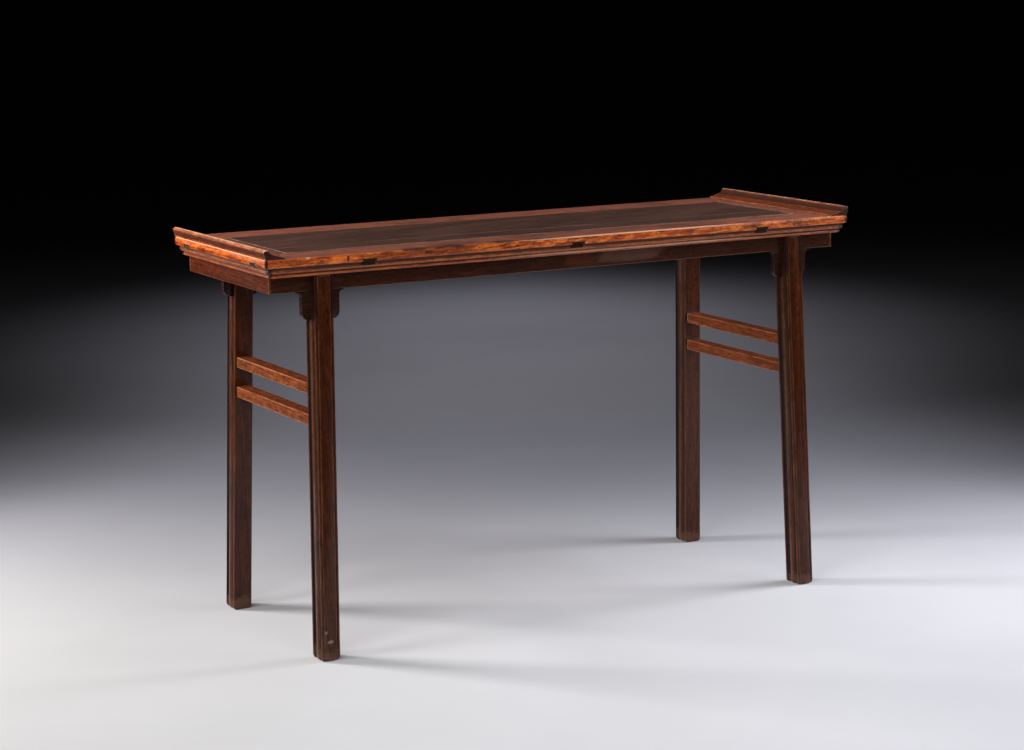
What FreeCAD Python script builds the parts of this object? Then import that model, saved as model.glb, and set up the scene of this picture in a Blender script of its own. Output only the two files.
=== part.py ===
import FreeCAD, Part
import os
import re
import Sketcher

# Altar table with everted flanges, recessed legs and a floating panel top, in millimetres.
# Origin on the floor under the middle of the top. +X runs along the table to the right,
# -Y faces the front and +Z is up. Every joint is cut in the wood, and nothing moves.

document = FreeCAD.newDocument("AltarTable")
sheet = document.addObject("Spreadsheet::Sheet", "Sizes")

SIZES = {
    # The whole table, measured on the frame of the top, without the flanges
    "frame_length": 1420,
    "frame_depth": 500,
    "table_height": 840,
    # The frame's rails, and how far the true mitre of their moulded edge reaches in
    "rail_thickness": 40,
    "long_rail_width": 95,
    "end_rail_width": 82,
    "square_mitre": 20,
    # The moulded edge, from the top arris down: heights, and setbacks from the outermost face
    "fascia_height": 18,
    "fascia_crown": 1.2,
    "quirk_setback": 6.5,
    "cove_height": 7,
    "cove_depth": 1,
    "band_setback": 7.5,
    "band_height": 6.5,
    "band_crown": 1.6,
    "band_foot_setback": 12,
    "line_setback": 14.5,
    "line_height": 2.5,
    "bead_setback": 13,
    "bead_crown": 1.4,
    "undercut": 15,
    # The floating panel: two boards, tongued into the frame and into each other
    "panel_thickness": 14,
    "front_board_width": 80,
    "panel_lip": 4,
    "panel_tongue": 6.5,
    "panel_tongue_length": 10,
    "panel_groove_depth": 11,
    "seam_tongue": 4,
    "seam_tongue_length": 5,
    # The through tenons that close the frame at its corners
    "rail_tenon_width": 32,
    "rail_tenon_inset": 11,
    "rail_tenon_top": 11,
    "rail_tenon_bottom": 23,
    # The battens under the panel, each with a dovetail along it and a tenon at each end
    "batten_width": 40,
    "batten_bottom": 38,
    "batten_end_gap": 148,
    "middle_batten_offset": 10,
    "dovetail_neck": 32,
    "dovetail_top": 37,
    "dovetail_height": 5,
    "batten_tenon_width": 31,
    "batten_tenon_top": 12.5,
    "batten_tenon_bottom": 25.5,
    # The everted flanges: setbacks from the frame's end, and heights over the top
    "flange_foot_setback": 1.5,
    "flange_lean": 5,
    "flange_quirk_height": 13.5,
    "flange_quirk_depth": 1.6,
    "flange_quirk_width": 1.4,
    "flange_bead_width": 11.5,
    "flange_bead_crown": 3,
    "flange_bead_rise": 4.5,
    "flange_hollow_setback": 21,
    "flange_hollow_height": 8.5,
    "flange_hollow_depth": 2.6,
    "flange_toe_width": 43,
    "flange_toe_height": 2.2,
    "flange_toe_depth": 0.8,
    "flange_tenon_length": 45,
    "flange_tenon_thickness": 9,
    "flange_tenon_depth": 8,
    "flange_tenon_setback": 15,
    "flange_tenon_spacing": 150,
    # The aprons under the frame
    "apron_thickness": 14,
    "apron_height": 34,
    "end_apron_setback": 20,
    "apron_tongue": 6,
    "apron_tongue_height": 6,
    # The spandrels, one board through each leg
    "spandrel_drop": 60,
    "ear_width": 20,
    "ear_flare": 10,
    "ear_tip": 1,
    "ear_round": 15,
    "spandrel_tongue": 5,
    "spandrel_tongue_height": 5,
    "spandrel_tongue_inset": 8,
    # The legs: where they meet the top, how far they splay, and their section
    "leg_overhang": 112.5,
    "leg_setback": 16,
    "side_splay": 19,
    "front_splay": 30,
    "leg_width": 44,
    "leg_depth": 49,
    "front_bead": 6.5,
    "front_bead_crown": 2.3,
    "front_quirk": 4,
    "front_crown": 3.6,
    "side_bead": 6,
    "side_bead_crown": 1,
    "side_quirk": 3,
    "side_crown": 4,
    "side_bead_setback": 1,
    "foot_round": 8,
    "leg_tenon_width": 26,
    "leg_tenon_thickness": 10,
    "leg_tenon_spacing": 34,
    "leg_tenon_height": 22,
    # The stretchers between the legs at each end
    "stretcher_width": 34,
    "stretcher_height": 23.5,
    "upper_stretcher_drop": 239,
    "lower_stretcher_drop": 304.5,
    "stretcher_tenon_width": 11,
    "stretcher_tenon_height": 17,
    "stretcher_tenon_length": 30,
    # Depth left free behind a hidden tenon, and how far a cut runs past the wood
    "mortise_relief": 1,
    "overrun": 5,
}

for row, (name, value) in enumerate(SIZES.items(), 1):
    sheet.set(f"A{row}", name)
    sheet.set(f"B{row}", str(value))
    sheet.setAlias(f"B{row}", name)
document.recompute()

# Places that several pieces share, as formulas on the sheet's sizes
HALF_LENGTH = "(frame_length / 2)"
HALF_DEPTH = "(frame_depth / 2)"
LEG_HEIGHT = "(table_height - rail_thickness)"
PANEL_HALF_LENGTH = f"({HALF_LENGTH} - end_rail_width)"
PANEL_HALF_DEPTH = f"({HALF_DEPTH} - long_rail_width)"
PANEL_BOTTOM = "(table_height - panel_thickness)"
APRON_BOTTOM = f"({LEG_HEIGHT} - apron_height)"
APRON_END = f"({HALF_LENGTH} - end_apron_setback)"
LEG_LINE = f"({HALF_DEPTH} - leg_setback - leg_depth / 2)"
LEG_TOP = f"({HALF_LENGTH} - leg_overhang - leg_width / 2)"
APRON_FACE = f"({LEG_LINE} + apron_thickness / 2)"
SIDES = {"left": -1, "right": 1}
FACES = {"front": -1, "rear": 1}


def bound(formula):
    """The formula with each size's name written as a cell of the sheet."""
    return re.sub(r"[a-z_]+", lambda word: "Sizes." + word[0] if word[0] in SIZES else word[0], formula)


def number(formula):
    return float(sheet.evalExpression(bound(formula)))


def signed(sign, formula):
    return f"{sign} * ({formula})"


def new_body(name):
    body = document.addObject("PartDesign::Body", name)
    body.Label = name
    body.Placement = FreeCAD.Placement()
    return body


def draw(body, role, name, outlines, shift="0"):
    """A sketch on one of the body's planes, moved along its normal by shift.

    Each outline is a closed list of points (across, up), written as formulas. A point may also
    say that an arc arrives at it: ("out" or "in", sagitta), bulging from or into the outline.
    """
    sketch = body.newObject("Sketcher::SketchObject", name)
    plane = next(feature for feature in body.Origin.OriginFeatures if feature.Role == role)
    sketch.AttachmentSupport = [(plane, "")]
    sketch.MapMode = "FlatFace"
    sketch.setExpression("AttachmentOffset.Base.z", bound(shift))
    for outline in outlines:
        add_outline(sketch, outline)
    return sketch


def add_outline(sketch, outline):
    places = [FreeCAD.Vector(number(point[0]), number(point[1]), 0) for point in outline]
    count = len(places)
    area = sum(places[i - 1].x * places[i].y - places[i].x * places[i - 1].y for i in range(count))
    first = sketch.GeometryCount
    ends = []
    for i, point in enumerate(outline):
        begin, end = places[i - 1], places[i]
        if len(point) == 2:
            sketch.addGeometry(Part.LineSegment(begin, end), False)
            ends.append((1, 2))
            continue
        side, sagitta = point[2:]
        chord = end - begin
        normal = FreeCAD.Vector(-chord.y, chord.x, 0).normalize()
        leftward = (side == "out") == (area > 0)
        bulge = -number(sagitta) if leftward else number(sagitta)
        middle = (begin + end) * 0.5 + normal * bulge
        arc = Part.Arc(begin, middle, end) if leftward else Part.Arc(end, middle, begin)
        sketch.addGeometry(arc, False)
        ends.append((1, 2) if leftward else (2, 1))
    for i, point in enumerate(outline):
        this, following = first + i, first + (i + 1) % count
        join = (this, ends[i][1], following, ends[(i + 1) % count][0])
        sketch.addConstraint(Sketcher.Constraint("Coincident", *join))
        for kind, formula in zip(("DistanceX", "DistanceY"), point):
            place_point(sketch, kind, this, ends[i][1], formula)
        if len(point) > 2:
            set_radius(sketch, this, outline[i - 1], point)


def place_point(sketch, kind, line, end, formula):
    if number(formula) == 0:
        axis = -2 if kind == "DistanceX" else -1
        sketch.addConstraint(Sketcher.Constraint("PointOnObject", line, end, axis))
        return
    place = Sketcher.Constraint(kind, -1, 1, line, end, number(formula))
    index = sketch.addConstraint(place)
    sketch.setExpression(f"Constraints[{index}]", bound(formula))


def set_radius(sketch, line, begin, end):
    sagitta = end[3]
    chord = f"((({end[0]}) - ({begin[0]})) ^ 2 + (({end[1]}) - ({begin[1]})) ^ 2)"
    formula = f"{chord} / 8 / ({sagitta}) + ({sagitta}) / 2"
    index = sketch.addConstraint(Sketcher.Constraint("Radius", line, number(formula)))
    sketch.setExpression(f"Constraints[{index}]", bound(formula))


def pad(body, name, sketch, length):
    feature = body.newObject("PartDesign::Pad", name)
    feature.Profile = sketch
    feature.setExpression("Length", bound(length))
    sketch.Visibility = False
    document.recompute()
    return feature


def pocket(body, name, sketch, depth, along=False):
    """Cuts the sketch's outlines against or along its normal, and checks that wood was cut away."""
    before = body.Shape.Volume
    feature = body.newObject("PartDesign::Pocket", name)
    feature.Profile = sketch
    feature.Reversed = along
    feature.setExpression("Length", bound(depth))
    sketch.Visibility = False
    document.recompute()
    if body.Shape.Volume >= before:
        raise RuntimeError(f"{body.Label}: {name} cuts nothing")
    return feature


def rectangle(x_low, x_high, y_low, y_high):
    return [(x_low, y_low), (x_high, y_low), (x_high, y_high), (x_low, y_high)]


def centred(middle, width):
    return f"{middle} - {width} / 2", f"{middle} + {width} / 2"


def block(body, name, x_span, y_span, z_span):
    """Adds an upright box to the body."""
    sketch = draw(body, "XY_Plane", name + "_outline", [rectangle(*x_span, *y_span)], z_span[0])
    return pad(body, name, sketch, f"{z_span[1]} - ({z_span[0]})")


def slot(body, name, boxes, z_span):
    """Cuts upright boxes, given as pairs of an x span and a y span, out of the body."""
    outlines = [rectangle(*x_span, *y_span) for x_span, y_span in boxes]
    sketch = draw(body, "XY_Plane", name + "_outline", outlines, z_span[1])
    return pocket(body, name, sketch, f"{z_span[1]} - ({z_span[0]})")


def splayed(top_place, splay, height):
    """A place on a leg that lies at top_place under the frame, taken at the given height."""
    return f"({top_place} + {splay} * ({LEG_HEIGHT} - ({height})) / {LEG_HEIGHT})"


def leg_middle(side, height):
    """The middle of a leg along the table, at the given height."""
    return signed(side, splayed(LEG_TOP, "side_splay", height))


BATTEN_PLACES = {
    "left": f"(batten_end_gap - {PANEL_HALF_LENGTH})",
    "middle": "middle_batten_offset",
    "right": f"({PANEL_HALF_LENGTH} - batten_end_gap)",
}


# The frame: a moulded edge outside, a groove for the panel inside

def rail_section(sign, outer, width):
    """Outline of a rail across its length, from the outermost face at outer inwards."""
    quirk_foot = "fascia_height + cove_height"
    band_foot = f"{quirk_foot} + band_height"
    line_foot = f"{band_foot} + line_height"
    groove_top = "panel_lip"
    groove_foot = "panel_lip + panel_tongue"
    section = [
        ("fascia_crown", "0"),
        ("fascia_crown", "fascia_height", "out", "fascia_crown"),
        ("quirk_setback", "fascia_height"),
        ("band_setback", quirk_foot, "in", "cove_depth"),
        ("band_foot_setback", band_foot, "out", "band_crown"),
        ("line_setback", band_foot),
        ("line_setback", line_foot),
        ("bead_setback", line_foot),
        ("undercut", "rail_thickness", "out", "bead_crown"),
        (width, "rail_thickness"),
        (width, groove_foot),
        (f"{width} - panel_groove_depth", groove_foot),
        (f"{width} - panel_groove_depth", groove_top),
        (width, groove_top),
        (width, "0"),
    ]
    points = []
    for setback, depth, *arc in section:
        points.append((signed(sign, f"{outer} - ({setback})"), f"table_height - ({depth})", *arc))
    return points


def mitre_waste(side, face, keep_long):
    """The wood to cut off a rail at one corner, on the other side of the mitre."""
    reach_x = "end_rail_width" if keep_long else "end_rail_width + overrun"
    reach_y = "long_rail_width + overrun" if keep_long else "long_rail_width"
    line = [("-1 * overrun", "-1 * overrun"), ("square_mitre", "square_mitre")]
    line.append(("end_rail_width", "long_rail_width"))
    if keep_long:
        line += [(reach_x, reach_y), ("-1 * overrun", reach_y)]
    else:
        line += [(reach_x, reach_y), (reach_x, "-1 * overrun")]
    points = []
    for across, inward in line:
        x = signed(side, f"{HALF_LENGTH} - ({across})")
        points.append((x, signed(face, f"{HALF_DEPTH} - ({inward})")))
    return points


def cut_mitres(body, corners, keep_long):
    outlines = [mitre_waste(side, face, keep_long) for side, face in corners]
    sketch = draw(body, "XY_Plane", "mitres_outline", outlines, "table_height + overrun")
    pocket(body, "mitres", sketch, "rail_thickness + 2 * overrun")


def cut_apron_groove(body):
    """The groove that runs round under the frame for the aprons' tongues."""
    outer, inner = "(apron_thickness + apron_tongue) / 2", "(apron_thickness - apron_tongue) / 2"
    outlines = []
    for edge in (inner, outer):
        x, y = f"{APRON_END} - {edge}", f"{APRON_FACE} - {edge}"
        outlines.append(rectangle(f"-1 * ({x})", x, f"-1 * ({y})", y))
    sketch = draw(body, "XY_Plane", "apron_groove_outline", outlines, f"{LEG_HEIGHT} + apron_tongue_height")
    pocket(body, "apron_groove", sketch, "apron_tongue_height + overrun")


def tenon_end(direction, outer, root, top, bottom):
    """Side outline of a through tenon whose end steps back under the fascia like the edge itself."""
    return [
        (signed(direction, root), f"table_height - {bottom}"),
        (signed(direction, f"{outer} - band_setback"), f"table_height - {bottom}"),
        (signed(direction, f"{outer} - band_setback"), "table_height - fascia_height"),
        (signed(direction, f"{outer} - fascia_crown"), "table_height - fascia_height"),
        (signed(direction, f"{outer} - fascia_crown"), f"table_height - {top}"),
        (signed(direction, root), f"table_height - {top}"),
    ]


RAIL_TENON_INNER = f"({PANEL_HALF_DEPTH} + rail_tenon_inset)"
RAIL_TENON_OUTER = f"({RAIL_TENON_INNER} + rail_tenon_width)"


def make_long_rail(face_name):
    face = FACES[face_name]
    body = new_body(face_name + "_long_rail")
    section = draw(body, "YZ_Plane", "section", [rail_section(face, HALF_DEPTH, "long_rail_width")],
                   f"-1 * {HALF_LENGTH}")
    pad(body, "moulded_rail", section, "frame_length")
    cut_mitres(body, [(side, face) for side in SIDES.values()], True)
    # A tenon at each end runs right through the end rail
    near = RAIL_TENON_INNER if face < 0 else f"-1 * {RAIL_TENON_OUTER}"
    for side_name, side in SIDES.items():
        outline = tenon_end(side, HALF_LENGTH, PANEL_HALF_LENGTH, "rail_tenon_top", "rail_tenon_bottom")
        sketch = draw(body, "XZ_Plane", side_name + "_tenon_outline", [outline], near)
        pad(body, side_name + "_tenon", sketch, "rail_tenon_width")
    # Through mortises for the battens
    y_span = (signed(face, f"{PANEL_HALF_DEPTH} - overrun"), signed(face, f"{HALF_DEPTH} + overrun"))
    boxes = [(centred(place, "batten_tenon_width"), y_span) for place in BATTEN_PLACES.values()]
    slot(body, "batten_mortises", boxes,
         ("table_height - batten_tenon_bottom", "table_height - batten_tenon_top"))
    # Twin mortises for each leg, open below
    boxes = [leg_tenon_place(face, side, step) for side in SIDES.values() for step in (-1, 1)]
    slot(body, "leg_mortises", boxes,
         (f"{LEG_HEIGHT} - overrun", f"{LEG_HEIGHT} + leg_tenon_height + mortise_relief"))
    cut_apron_groove(body)
    return body


def leg_tenon_place(face, side, step):
    """Spans of one of a leg's two top tenons, on either side of its middle across the table."""
    line = f"{face} * {LEG_LINE} + {step} * leg_tenon_spacing / 2"
    return centred(signed(side, LEG_TOP), "leg_tenon_width"), centred(line, "leg_tenon_thickness")


def make_end_rail(side_name):
    side = SIDES[side_name]
    body = new_body(side_name + "_end_rail")
    section = draw(body, "XZ_Plane", "section", [rail_section(side, HALF_LENGTH, "end_rail_width")],
                   f"-1 * {HALF_DEPTH}")
    pad(body, "moulded_rail", section, "frame_depth")
    cut_mitres(body, [(side, face) for face in FACES.values()], False)
    # Through mortises for the long rails' tenons
    x_span = (signed(side, f"{PANEL_HALF_LENGTH} - overrun"), signed(side, f"{HALF_LENGTH} + overrun"))
    boxes = []
    for face in FACES.values():
        boxes.append((x_span, (signed(face, RAIL_TENON_INNER), signed(face, RAIL_TENON_OUTER))))
    slot(body, "rail_mortises", boxes,
         ("table_height - rail_tenon_bottom", "table_height - rail_tenon_top"))
    # Shallow mortises in the top for the flange's hidden tenons
    slot(body, "flange_mortises", flange_tenon_places(side),
         ("table_height - flange_tenon_depth - mortise_relief", "table_height + overrun"))
    cut_apron_groove(body)
    return body


def flange_tenon_places(side):
    middle = signed(side, f"{HALF_LENGTH} - flange_tenon_setback")
    x_span = centred(middle, "flange_tenon_thickness")
    return [(x_span, centred(f"{step} * flange_tenon_spacing", "flange_tenon_length")) for step in (-1, 0, 1)]


# The floating panel and the battens that keep it flat

SEAM = f"(front_board_width - {PANEL_HALF_DEPTH})"
TONGUE_TOP = "(table_height - panel_lip)"
TONGUE_FOOT = f"({TONGUE_TOP} - panel_tongue)"
SEAM_TONGUE_SPAN = centred(f"({PANEL_BOTTOM} + {TONGUE_TOP}) / 2", "seam_tongue")


def make_panel_board(face_name):
    face = FACES[face_name]
    body = new_body(face_name + "_panel_board")
    edge = signed(face, PANEL_HALF_DEPTH)
    tongue_edge = signed(face, f"{PANEL_HALF_DEPTH} + panel_tongue_length")
    tongue_end = f"{PANEL_HALF_LENGTH} + panel_tongue_length"
    x_span = (f"-1 * {PANEL_HALF_LENGTH}", PANEL_HALF_LENGTH)
    block(body, "board", x_span, (SEAM, edge), (PANEL_BOTTOM, "table_height"))
    block(body, "frame_tongue", (f"-1 * ({tongue_end})", tongue_end), (SEAM, tongue_edge),
          (TONGUE_FOOT, TONGUE_TOP))
    if face_name == "front":
        block(body, "seam_tongue", x_span, (edge, f"{SEAM} + seam_tongue_length"), SEAM_TONGUE_SPAN)
    else:
        groove_end = f"{tongue_end} + overrun"
        slot(body, "seam_groove", [((f"-1 * ({groove_end})", groove_end),
                                    (f"{SEAM} - overrun", f"{SEAM} + seam_tongue_length"))],
             SEAM_TONGUE_SPAN)
    # Dovetailed housings from below, one over each batten
    outlines = [dovetail(place, "overrun") for place in BATTEN_PLACES.values()]
    reach = f"{HALF_DEPTH} + overrun"
    sketch = draw(body, "XZ_Plane", "housings_outline", outlines, f"-1 * ({reach})")
    pocket(body, "batten_housings", sketch, f"2 * ({reach})", along=True)
    return body


def dovetail(place, below):
    """Outline of a dovetail over a batten, running down past the panel's underside by below."""
    return [
        (f"{place} - dovetail_neck / 2", f"{PANEL_BOTTOM} - {below}"),
        (f"{place} + dovetail_neck / 2", f"{PANEL_BOTTOM} - {below}"),
        (f"{place} + dovetail_neck / 2", PANEL_BOTTOM),
        (f"{place} + dovetail_top / 2", f"{PANEL_BOTTOM} + dovetail_height"),
        (f"{place} - dovetail_top / 2", f"{PANEL_BOTTOM} + dovetail_height"),
        (f"{place} - dovetail_neck / 2", PANEL_BOTTOM),
    ]


def make_batten(name):
    place = BATTEN_PLACES[name]
    body = new_body(name + "_batten")
    low, high = centred(place, "batten_width")
    foot = "table_height - batten_bottom"
    neck = dovetail(place, "overrun")[2:]
    outline = [(low, foot), (high, foot), (high, PANEL_BOTTOM)] + neck + [(low, PANEL_BOTTOM)]
    section = draw(body, "XZ_Plane", "section", [outline], f"-1 * {PANEL_HALF_DEPTH}")
    pad(body, "bar", section, f"2 * {PANEL_HALF_DEPTH}")
    for face_name, face in FACES.items():
        outline = tenon_end(face, HALF_DEPTH, f"({PANEL_HALF_DEPTH} - batten_width)",
                            "batten_tenon_top", "batten_tenon_bottom")
        sketch = draw(body, "YZ_Plane", face_name + "_tenon_outline", [outline],
                      f"{place} - batten_tenon_width / 2")
        pad(body, face_name + "_tenon", sketch, "batten_tenon_width")
    return body


# The everted flanges, which lean outward over the ends and sweep down to a thin toe

def make_flange(side_name):
    side = SIDES[side_name]
    body = new_body(side_name + "_everted_flange")
    lean_at_quirk = "flange_lean * flange_quirk_height / (flange_quirk_height + flange_quirk_width)"
    quirk = f"flange_foot_setback - {lean_at_quirk}"
    bead_foot = "flange_quirk_height + flange_quirk_width"
    bead_outer = "flange_foot_setback - flange_lean"
    bead_top = f"{bead_foot} + flange_bead_rise"
    section = [
        ("flange_foot_setback", "0"),
        (quirk, "flange_quirk_height"),
        (f"{quirk} + flange_quirk_depth", "flange_quirk_height"),
        (f"{quirk} + flange_quirk_depth", bead_foot),
        (bead_outer, bead_foot),
        (f"{bead_outer} + flange_bead_width", bead_top, "out", "flange_bead_crown"),
        ("flange_hollow_setback", "flange_hollow_height", "in", "flange_hollow_depth"),
        ("flange_toe_width", "flange_toe_height", "in", "flange_toe_depth"),
        ("flange_toe_width", "0"),
    ]
    points = []
    for setback, height, *arc in section:
        points.append((signed(side, f"{HALF_LENGTH} - ({setback})"), f"table_height + {height}", *arc))
    sketch = draw(body, "XZ_Plane", "section", [points], f"-1 * {HALF_DEPTH}")
    pad(body, "moulded_flange", sketch, "frame_depth")
    for place, (x_span, y_span) in zip(("front", "middle", "rear"), flange_tenon_places(side)):
        block(body, place + "_hidden_tenon", x_span, y_span,
              ("table_height - flange_tenon_depth", "table_height + flange_toe_height"))
    return body


# The aprons, mitred to each other at the corners, and the spandrels under them

def cut_apron_mitres(body, corners, keep_long):
    outlines = []
    for side, face in corners:
        far = "apron_thickness + overrun"
        if keep_long:
            line = [("-1 * overrun", "-1 * overrun"), (far, far), ("-1 * overrun", far)]
        else:
            line = [("-1 * overrun", "-1 * overrun"), (far, far), (far, "-1 * overrun")]
        points = []
        for across, inward in line:
            x = signed(side, f"{APRON_END} - ({across})")
            points.append((x, signed(face, f"{APRON_FACE} - ({inward})")))
        outlines.append(points)
    sketch = draw(body, "XY_Plane", "mitres_outline", outlines,
                  f"{LEG_HEIGHT} + apron_tongue_height + overrun")
    pocket(body, "mitres", sketch, "apron_height + apron_tongue_height + 2 * overrun")


def make_long_apron(face_name):
    face = FACES[face_name]
    body = new_body(face_name + "_apron")
    line = signed(face, LEG_LINE)
    x_span = (f"-1 * {APRON_END}", APRON_END)
    block(body, "board", x_span, centred(line, "apron_thickness"), (APRON_BOTTOM, LEG_HEIGHT))
    block(body, "tongue", x_span, centred(line, "apron_tongue"),
          (LEG_HEIGHT, f"{LEG_HEIGHT} + apron_tongue_height"))
    cut_apron_mitres(body, [(side, face) for side in SIDES.values()], True)
    boxes = [(spandrel_tongue_span(side), centred(line, "spandrel_tongue")) for side in SIDES.values()]
    slot(body, "spandrel_grooves", boxes,
         (f"{APRON_BOTTOM} - overrun", f"{APRON_BOTTOM} + spandrel_tongue_height"))
    return body


def make_end_apron(side_name):
    side = SIDES[side_name]
    body = new_body(side_name + "_end_apron")
    line = signed(side, f"{APRON_END} - apron_thickness / 2")
    y_span = (f"-1 * {APRON_FACE}", APRON_FACE)
    block(body, "board", centred(line, "apron_thickness"), y_span, (APRON_BOTTOM, LEG_HEIGHT))
    block(body, "tongue", centred(line, "apron_tongue"), y_span,
          (LEG_HEIGHT, f"{LEG_HEIGHT} + apron_tongue_height"))
    cut_apron_mitres(body, [(side, face) for face in FACES.values()], False)
    return body


SPANDREL_FOOT = f"({APRON_BOTTOM} - spandrel_drop)"
SPANDREL_HALF_WIDTH = "(leg_width / 2 + ear_width)"
SPANDREL_TONGUE_REACH = f"({SPANDREL_HALF_WIDTH} - spandrel_tongue_inset)"
QUARTER_ROUND_SHARE = "(1 - sqrt(2) / 2)"


def spandrel_middle(side):
    return leg_middle(side, f"({APRON_BOTTOM} + {SPANDREL_FOOT}) / 2")


def spandrel_tongue_span(side):
    middle = spandrel_middle(side)
    return f"{middle} - {SPANDREL_TONGUE_REACH}", f"{middle} + {SPANDREL_TONGUE_REACH}"


def make_spandrel(face_name, side_name):
    face, side = FACES[face_name], SIDES[side_name]
    body = new_body(f"{face_name}_{side_name}_spandrel")
    left, right = (f"{spandrel_middle(side)} {sign} {SPANDREL_HALF_WIDTH}" for sign in "-+")
    flare_top = f"{APRON_BOTTOM} - ear_tip"
    flare_foot = f"{APRON_BOTTOM} - ear_flare"
    rounding = ("out", f"ear_round * {QUARTER_ROUND_SHARE}")
    flaring = ("in", f"ear_flare * {QUARTER_ROUND_SHARE}")
    outline = [
        (f"{right} - ear_round", SPANDREL_FOOT),
        (right, f"{SPANDREL_FOOT} + ear_round", *rounding),
        (right, flare_foot),
        (f"{right} + ear_flare", flare_top, *flaring),
        (f"{right} + ear_flare", APRON_BOTTOM),
        (f"{left} - ear_flare", APRON_BOTTOM),
        (f"{left} - ear_flare", flare_top),
        (left, flare_foot, *flaring),
        (left, f"{SPANDREL_FOOT} + ear_round"),
        (f"{left} + ear_round", SPANDREL_FOOT, *rounding),
    ]
    high = centred(signed(face, LEG_LINE), "apron_thickness")[1]
    sketch = draw(body, "XZ_Plane", "outline", [outline], f"-1 * ({high})")
    pad(body, "board", sketch, "apron_thickness")
    block(body, "tongue", spandrel_tongue_span(side), centred(signed(face, LEG_LINE), "spandrel_tongue"),
          (APRON_BOTTOM, f"{APRON_BOTTOM} + spandrel_tongue_height"))
    return body


# The legs: splayed both ways, with a beaded front, rounded sides and a plain back

def leg_section(side, face):
    """Outline of a leg at the floor. Its outer half is written once and mirrored to the inner one."""
    bead_face = "leg_width / 2 - side_bead_setback"
    side_face = "leg_width / 2 - side_crown"
    back_quirk = "leg_depth - side_bead - side_quirk"
    bead_edge = "leg_width / 2 - front_bead"
    # From the middle of the flat back, round the side to the front bead's inner edge
    half = [
        (bead_face, "leg_depth"),
        (bead_face, "leg_depth - side_bead"),
        (side_face, "leg_depth - side_bead"),
        (side_face, back_quirk),
        (side_face, "side_bead + side_quirk"),
        (side_face, "side_bead"),
        (bead_face, "side_bead"),
        (bead_edge, "front_quirk"),
    ]
    arcs = {1: "side_bead_crown", 4: "side_crown", 7: "front_bead_crown"}
    middle = leg_middle(1, "0")
    outer = splayed(f"{HALF_DEPTH} - leg_setback", "front_splay", "0")

    def place(across, inward, step, *arc):
        x = signed(side, f"{middle} + {step} * ({across})")
        return (x, signed(face, f"{outer} - ({inward})"), *arc)

    points = []
    for i, (across, inward) in enumerate(half):
        arc = ("out", arcs[i]) if i in arcs else ()
        points.append(place(across, inward, 1, *arc))
    # The front's low crown, then the same half backwards on the other side
    points.append(place(*half[-1], -1, "out", "front_crown"))
    for i in range(len(half) - 1, 0, -1):
        arc = ("out", arcs[i]) if i in arcs else ()
        points.append(place(*half[i - 1], -1, *arc))
    return points


def make_leg(face_name, side_name):
    face, side = FACES[face_name], SIDES[side_name]
    body = new_body(f"{face_name}_{side_name}_leg")
    section = draw(body, "XY_Plane", "section", [leg_section(side, face)])
    shaft = body.newObject("PartDesign::Pad", "shaft")
    shaft.Profile = section
    section.Visibility = False
    shaft.UseCustomVector = True
    shaft.AlongSketchNormal = True
    shaft.setExpression("Direction.x", bound(f"{-side} * side_splay / {LEG_HEIGHT}"))
    shaft.setExpression("Direction.y", bound(f"{-face} * front_splay / {LEG_HEIGHT}"))
    shaft.setExpression("Direction.z", "1")
    shaft.setExpression("Length", bound(LEG_HEIGHT))
    document.recompute()
    # The fork round apron and spandrel, and a tenon on top of each prong
    line = signed(face, LEG_LINE)
    fork = (centred(spandrel_middle(side), "2 * leg_width"), centred(line, "apron_thickness"))
    slot(body, "fork", [fork], (SPANDREL_FOOT, f"{LEG_HEIGHT} + overrun"))
    for prong, step in {"outer": face, "inner": -face}.items():
        block(body, prong + "_top_tenon", *leg_tenon_place(face, side, step),
              (f"{LEG_HEIGHT} - mortise_relief", f"{LEG_HEIGHT} + leg_tenon_height"))
    cut_stretcher_mortises(body, face, side)
    round_foot(body, face, side)
    return body


def cut_stretcher_mortises(body, face, side):
    for name in STRETCHER_DROPS:
        middle_height = stretcher_height(name)
        inner = signed(face, f"{stretcher_shoulder(middle_height)} - leg_depth / 2")
        end = signed(face, f"{stretcher_shoulder(middle_height)} + stretcher_tenon_length")
        slot(body, name + "_stretcher_mortise",
             [(centred(stretcher_place(side), "stretcher_tenon_width"), (inner, end))],
             centred(middle_height, "stretcher_tenon_height"))


def round_foot(body, face, side):
    """Rounds the lower arrises of the leg's outer face and of its two sides."""
    middle = leg_middle(side, "0")
    outer = splayed(f"{HALF_DEPTH} - leg_setback", "front_splay", "0")
    sagitta = f"foot_round * {QUARTER_ROUND_SHARE}"
    outlines = []
    for step in (-1, 1):
        edge = f"{middle} + {step} * leg_width / 2"
        outlines.append([
            (f"{edge} - {step} * foot_round", "-1 * overrun"),
            (f"{edge} + {step} * overrun", "-1 * overrun"),
            (f"{edge} + {step} * overrun", "foot_round"),
            (edge, "foot_round"),
            (f"{edge} - {step} * foot_round", "0", "in", sagitta),
        ])
    reach = f"({outer} + overrun)"
    sketch = draw(body, "XZ_Plane", "side_rounds_outline", outlines, f"-1 * {reach}")
    pocket(body, "side_rounds", sketch, f"2 * {reach}", along=True)
    outline = [
        (signed(face, f"{outer} - foot_round"), "-1 * overrun"),
        (signed(face, f"{outer} + overrun"), "-1 * overrun"),
        (signed(face, f"{outer} + overrun"), "foot_round"),
        (signed(face, outer), "foot_round"),
        (signed(face, f"{outer} - foot_round"), "0", "in", sagitta),
    ]
    sketch = draw(body, "YZ_Plane", "front_round_outline", [outline], f"-1 * {HALF_LENGTH}")
    pocket(body, "front_round", sketch, "frame_length", along=True)


# The stretchers, shouldered to the slope of the legs and blind-tenoned into them

STRETCHER_DROPS = {"upper": "upper_stretcher_drop", "lower": "lower_stretcher_drop"}


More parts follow.
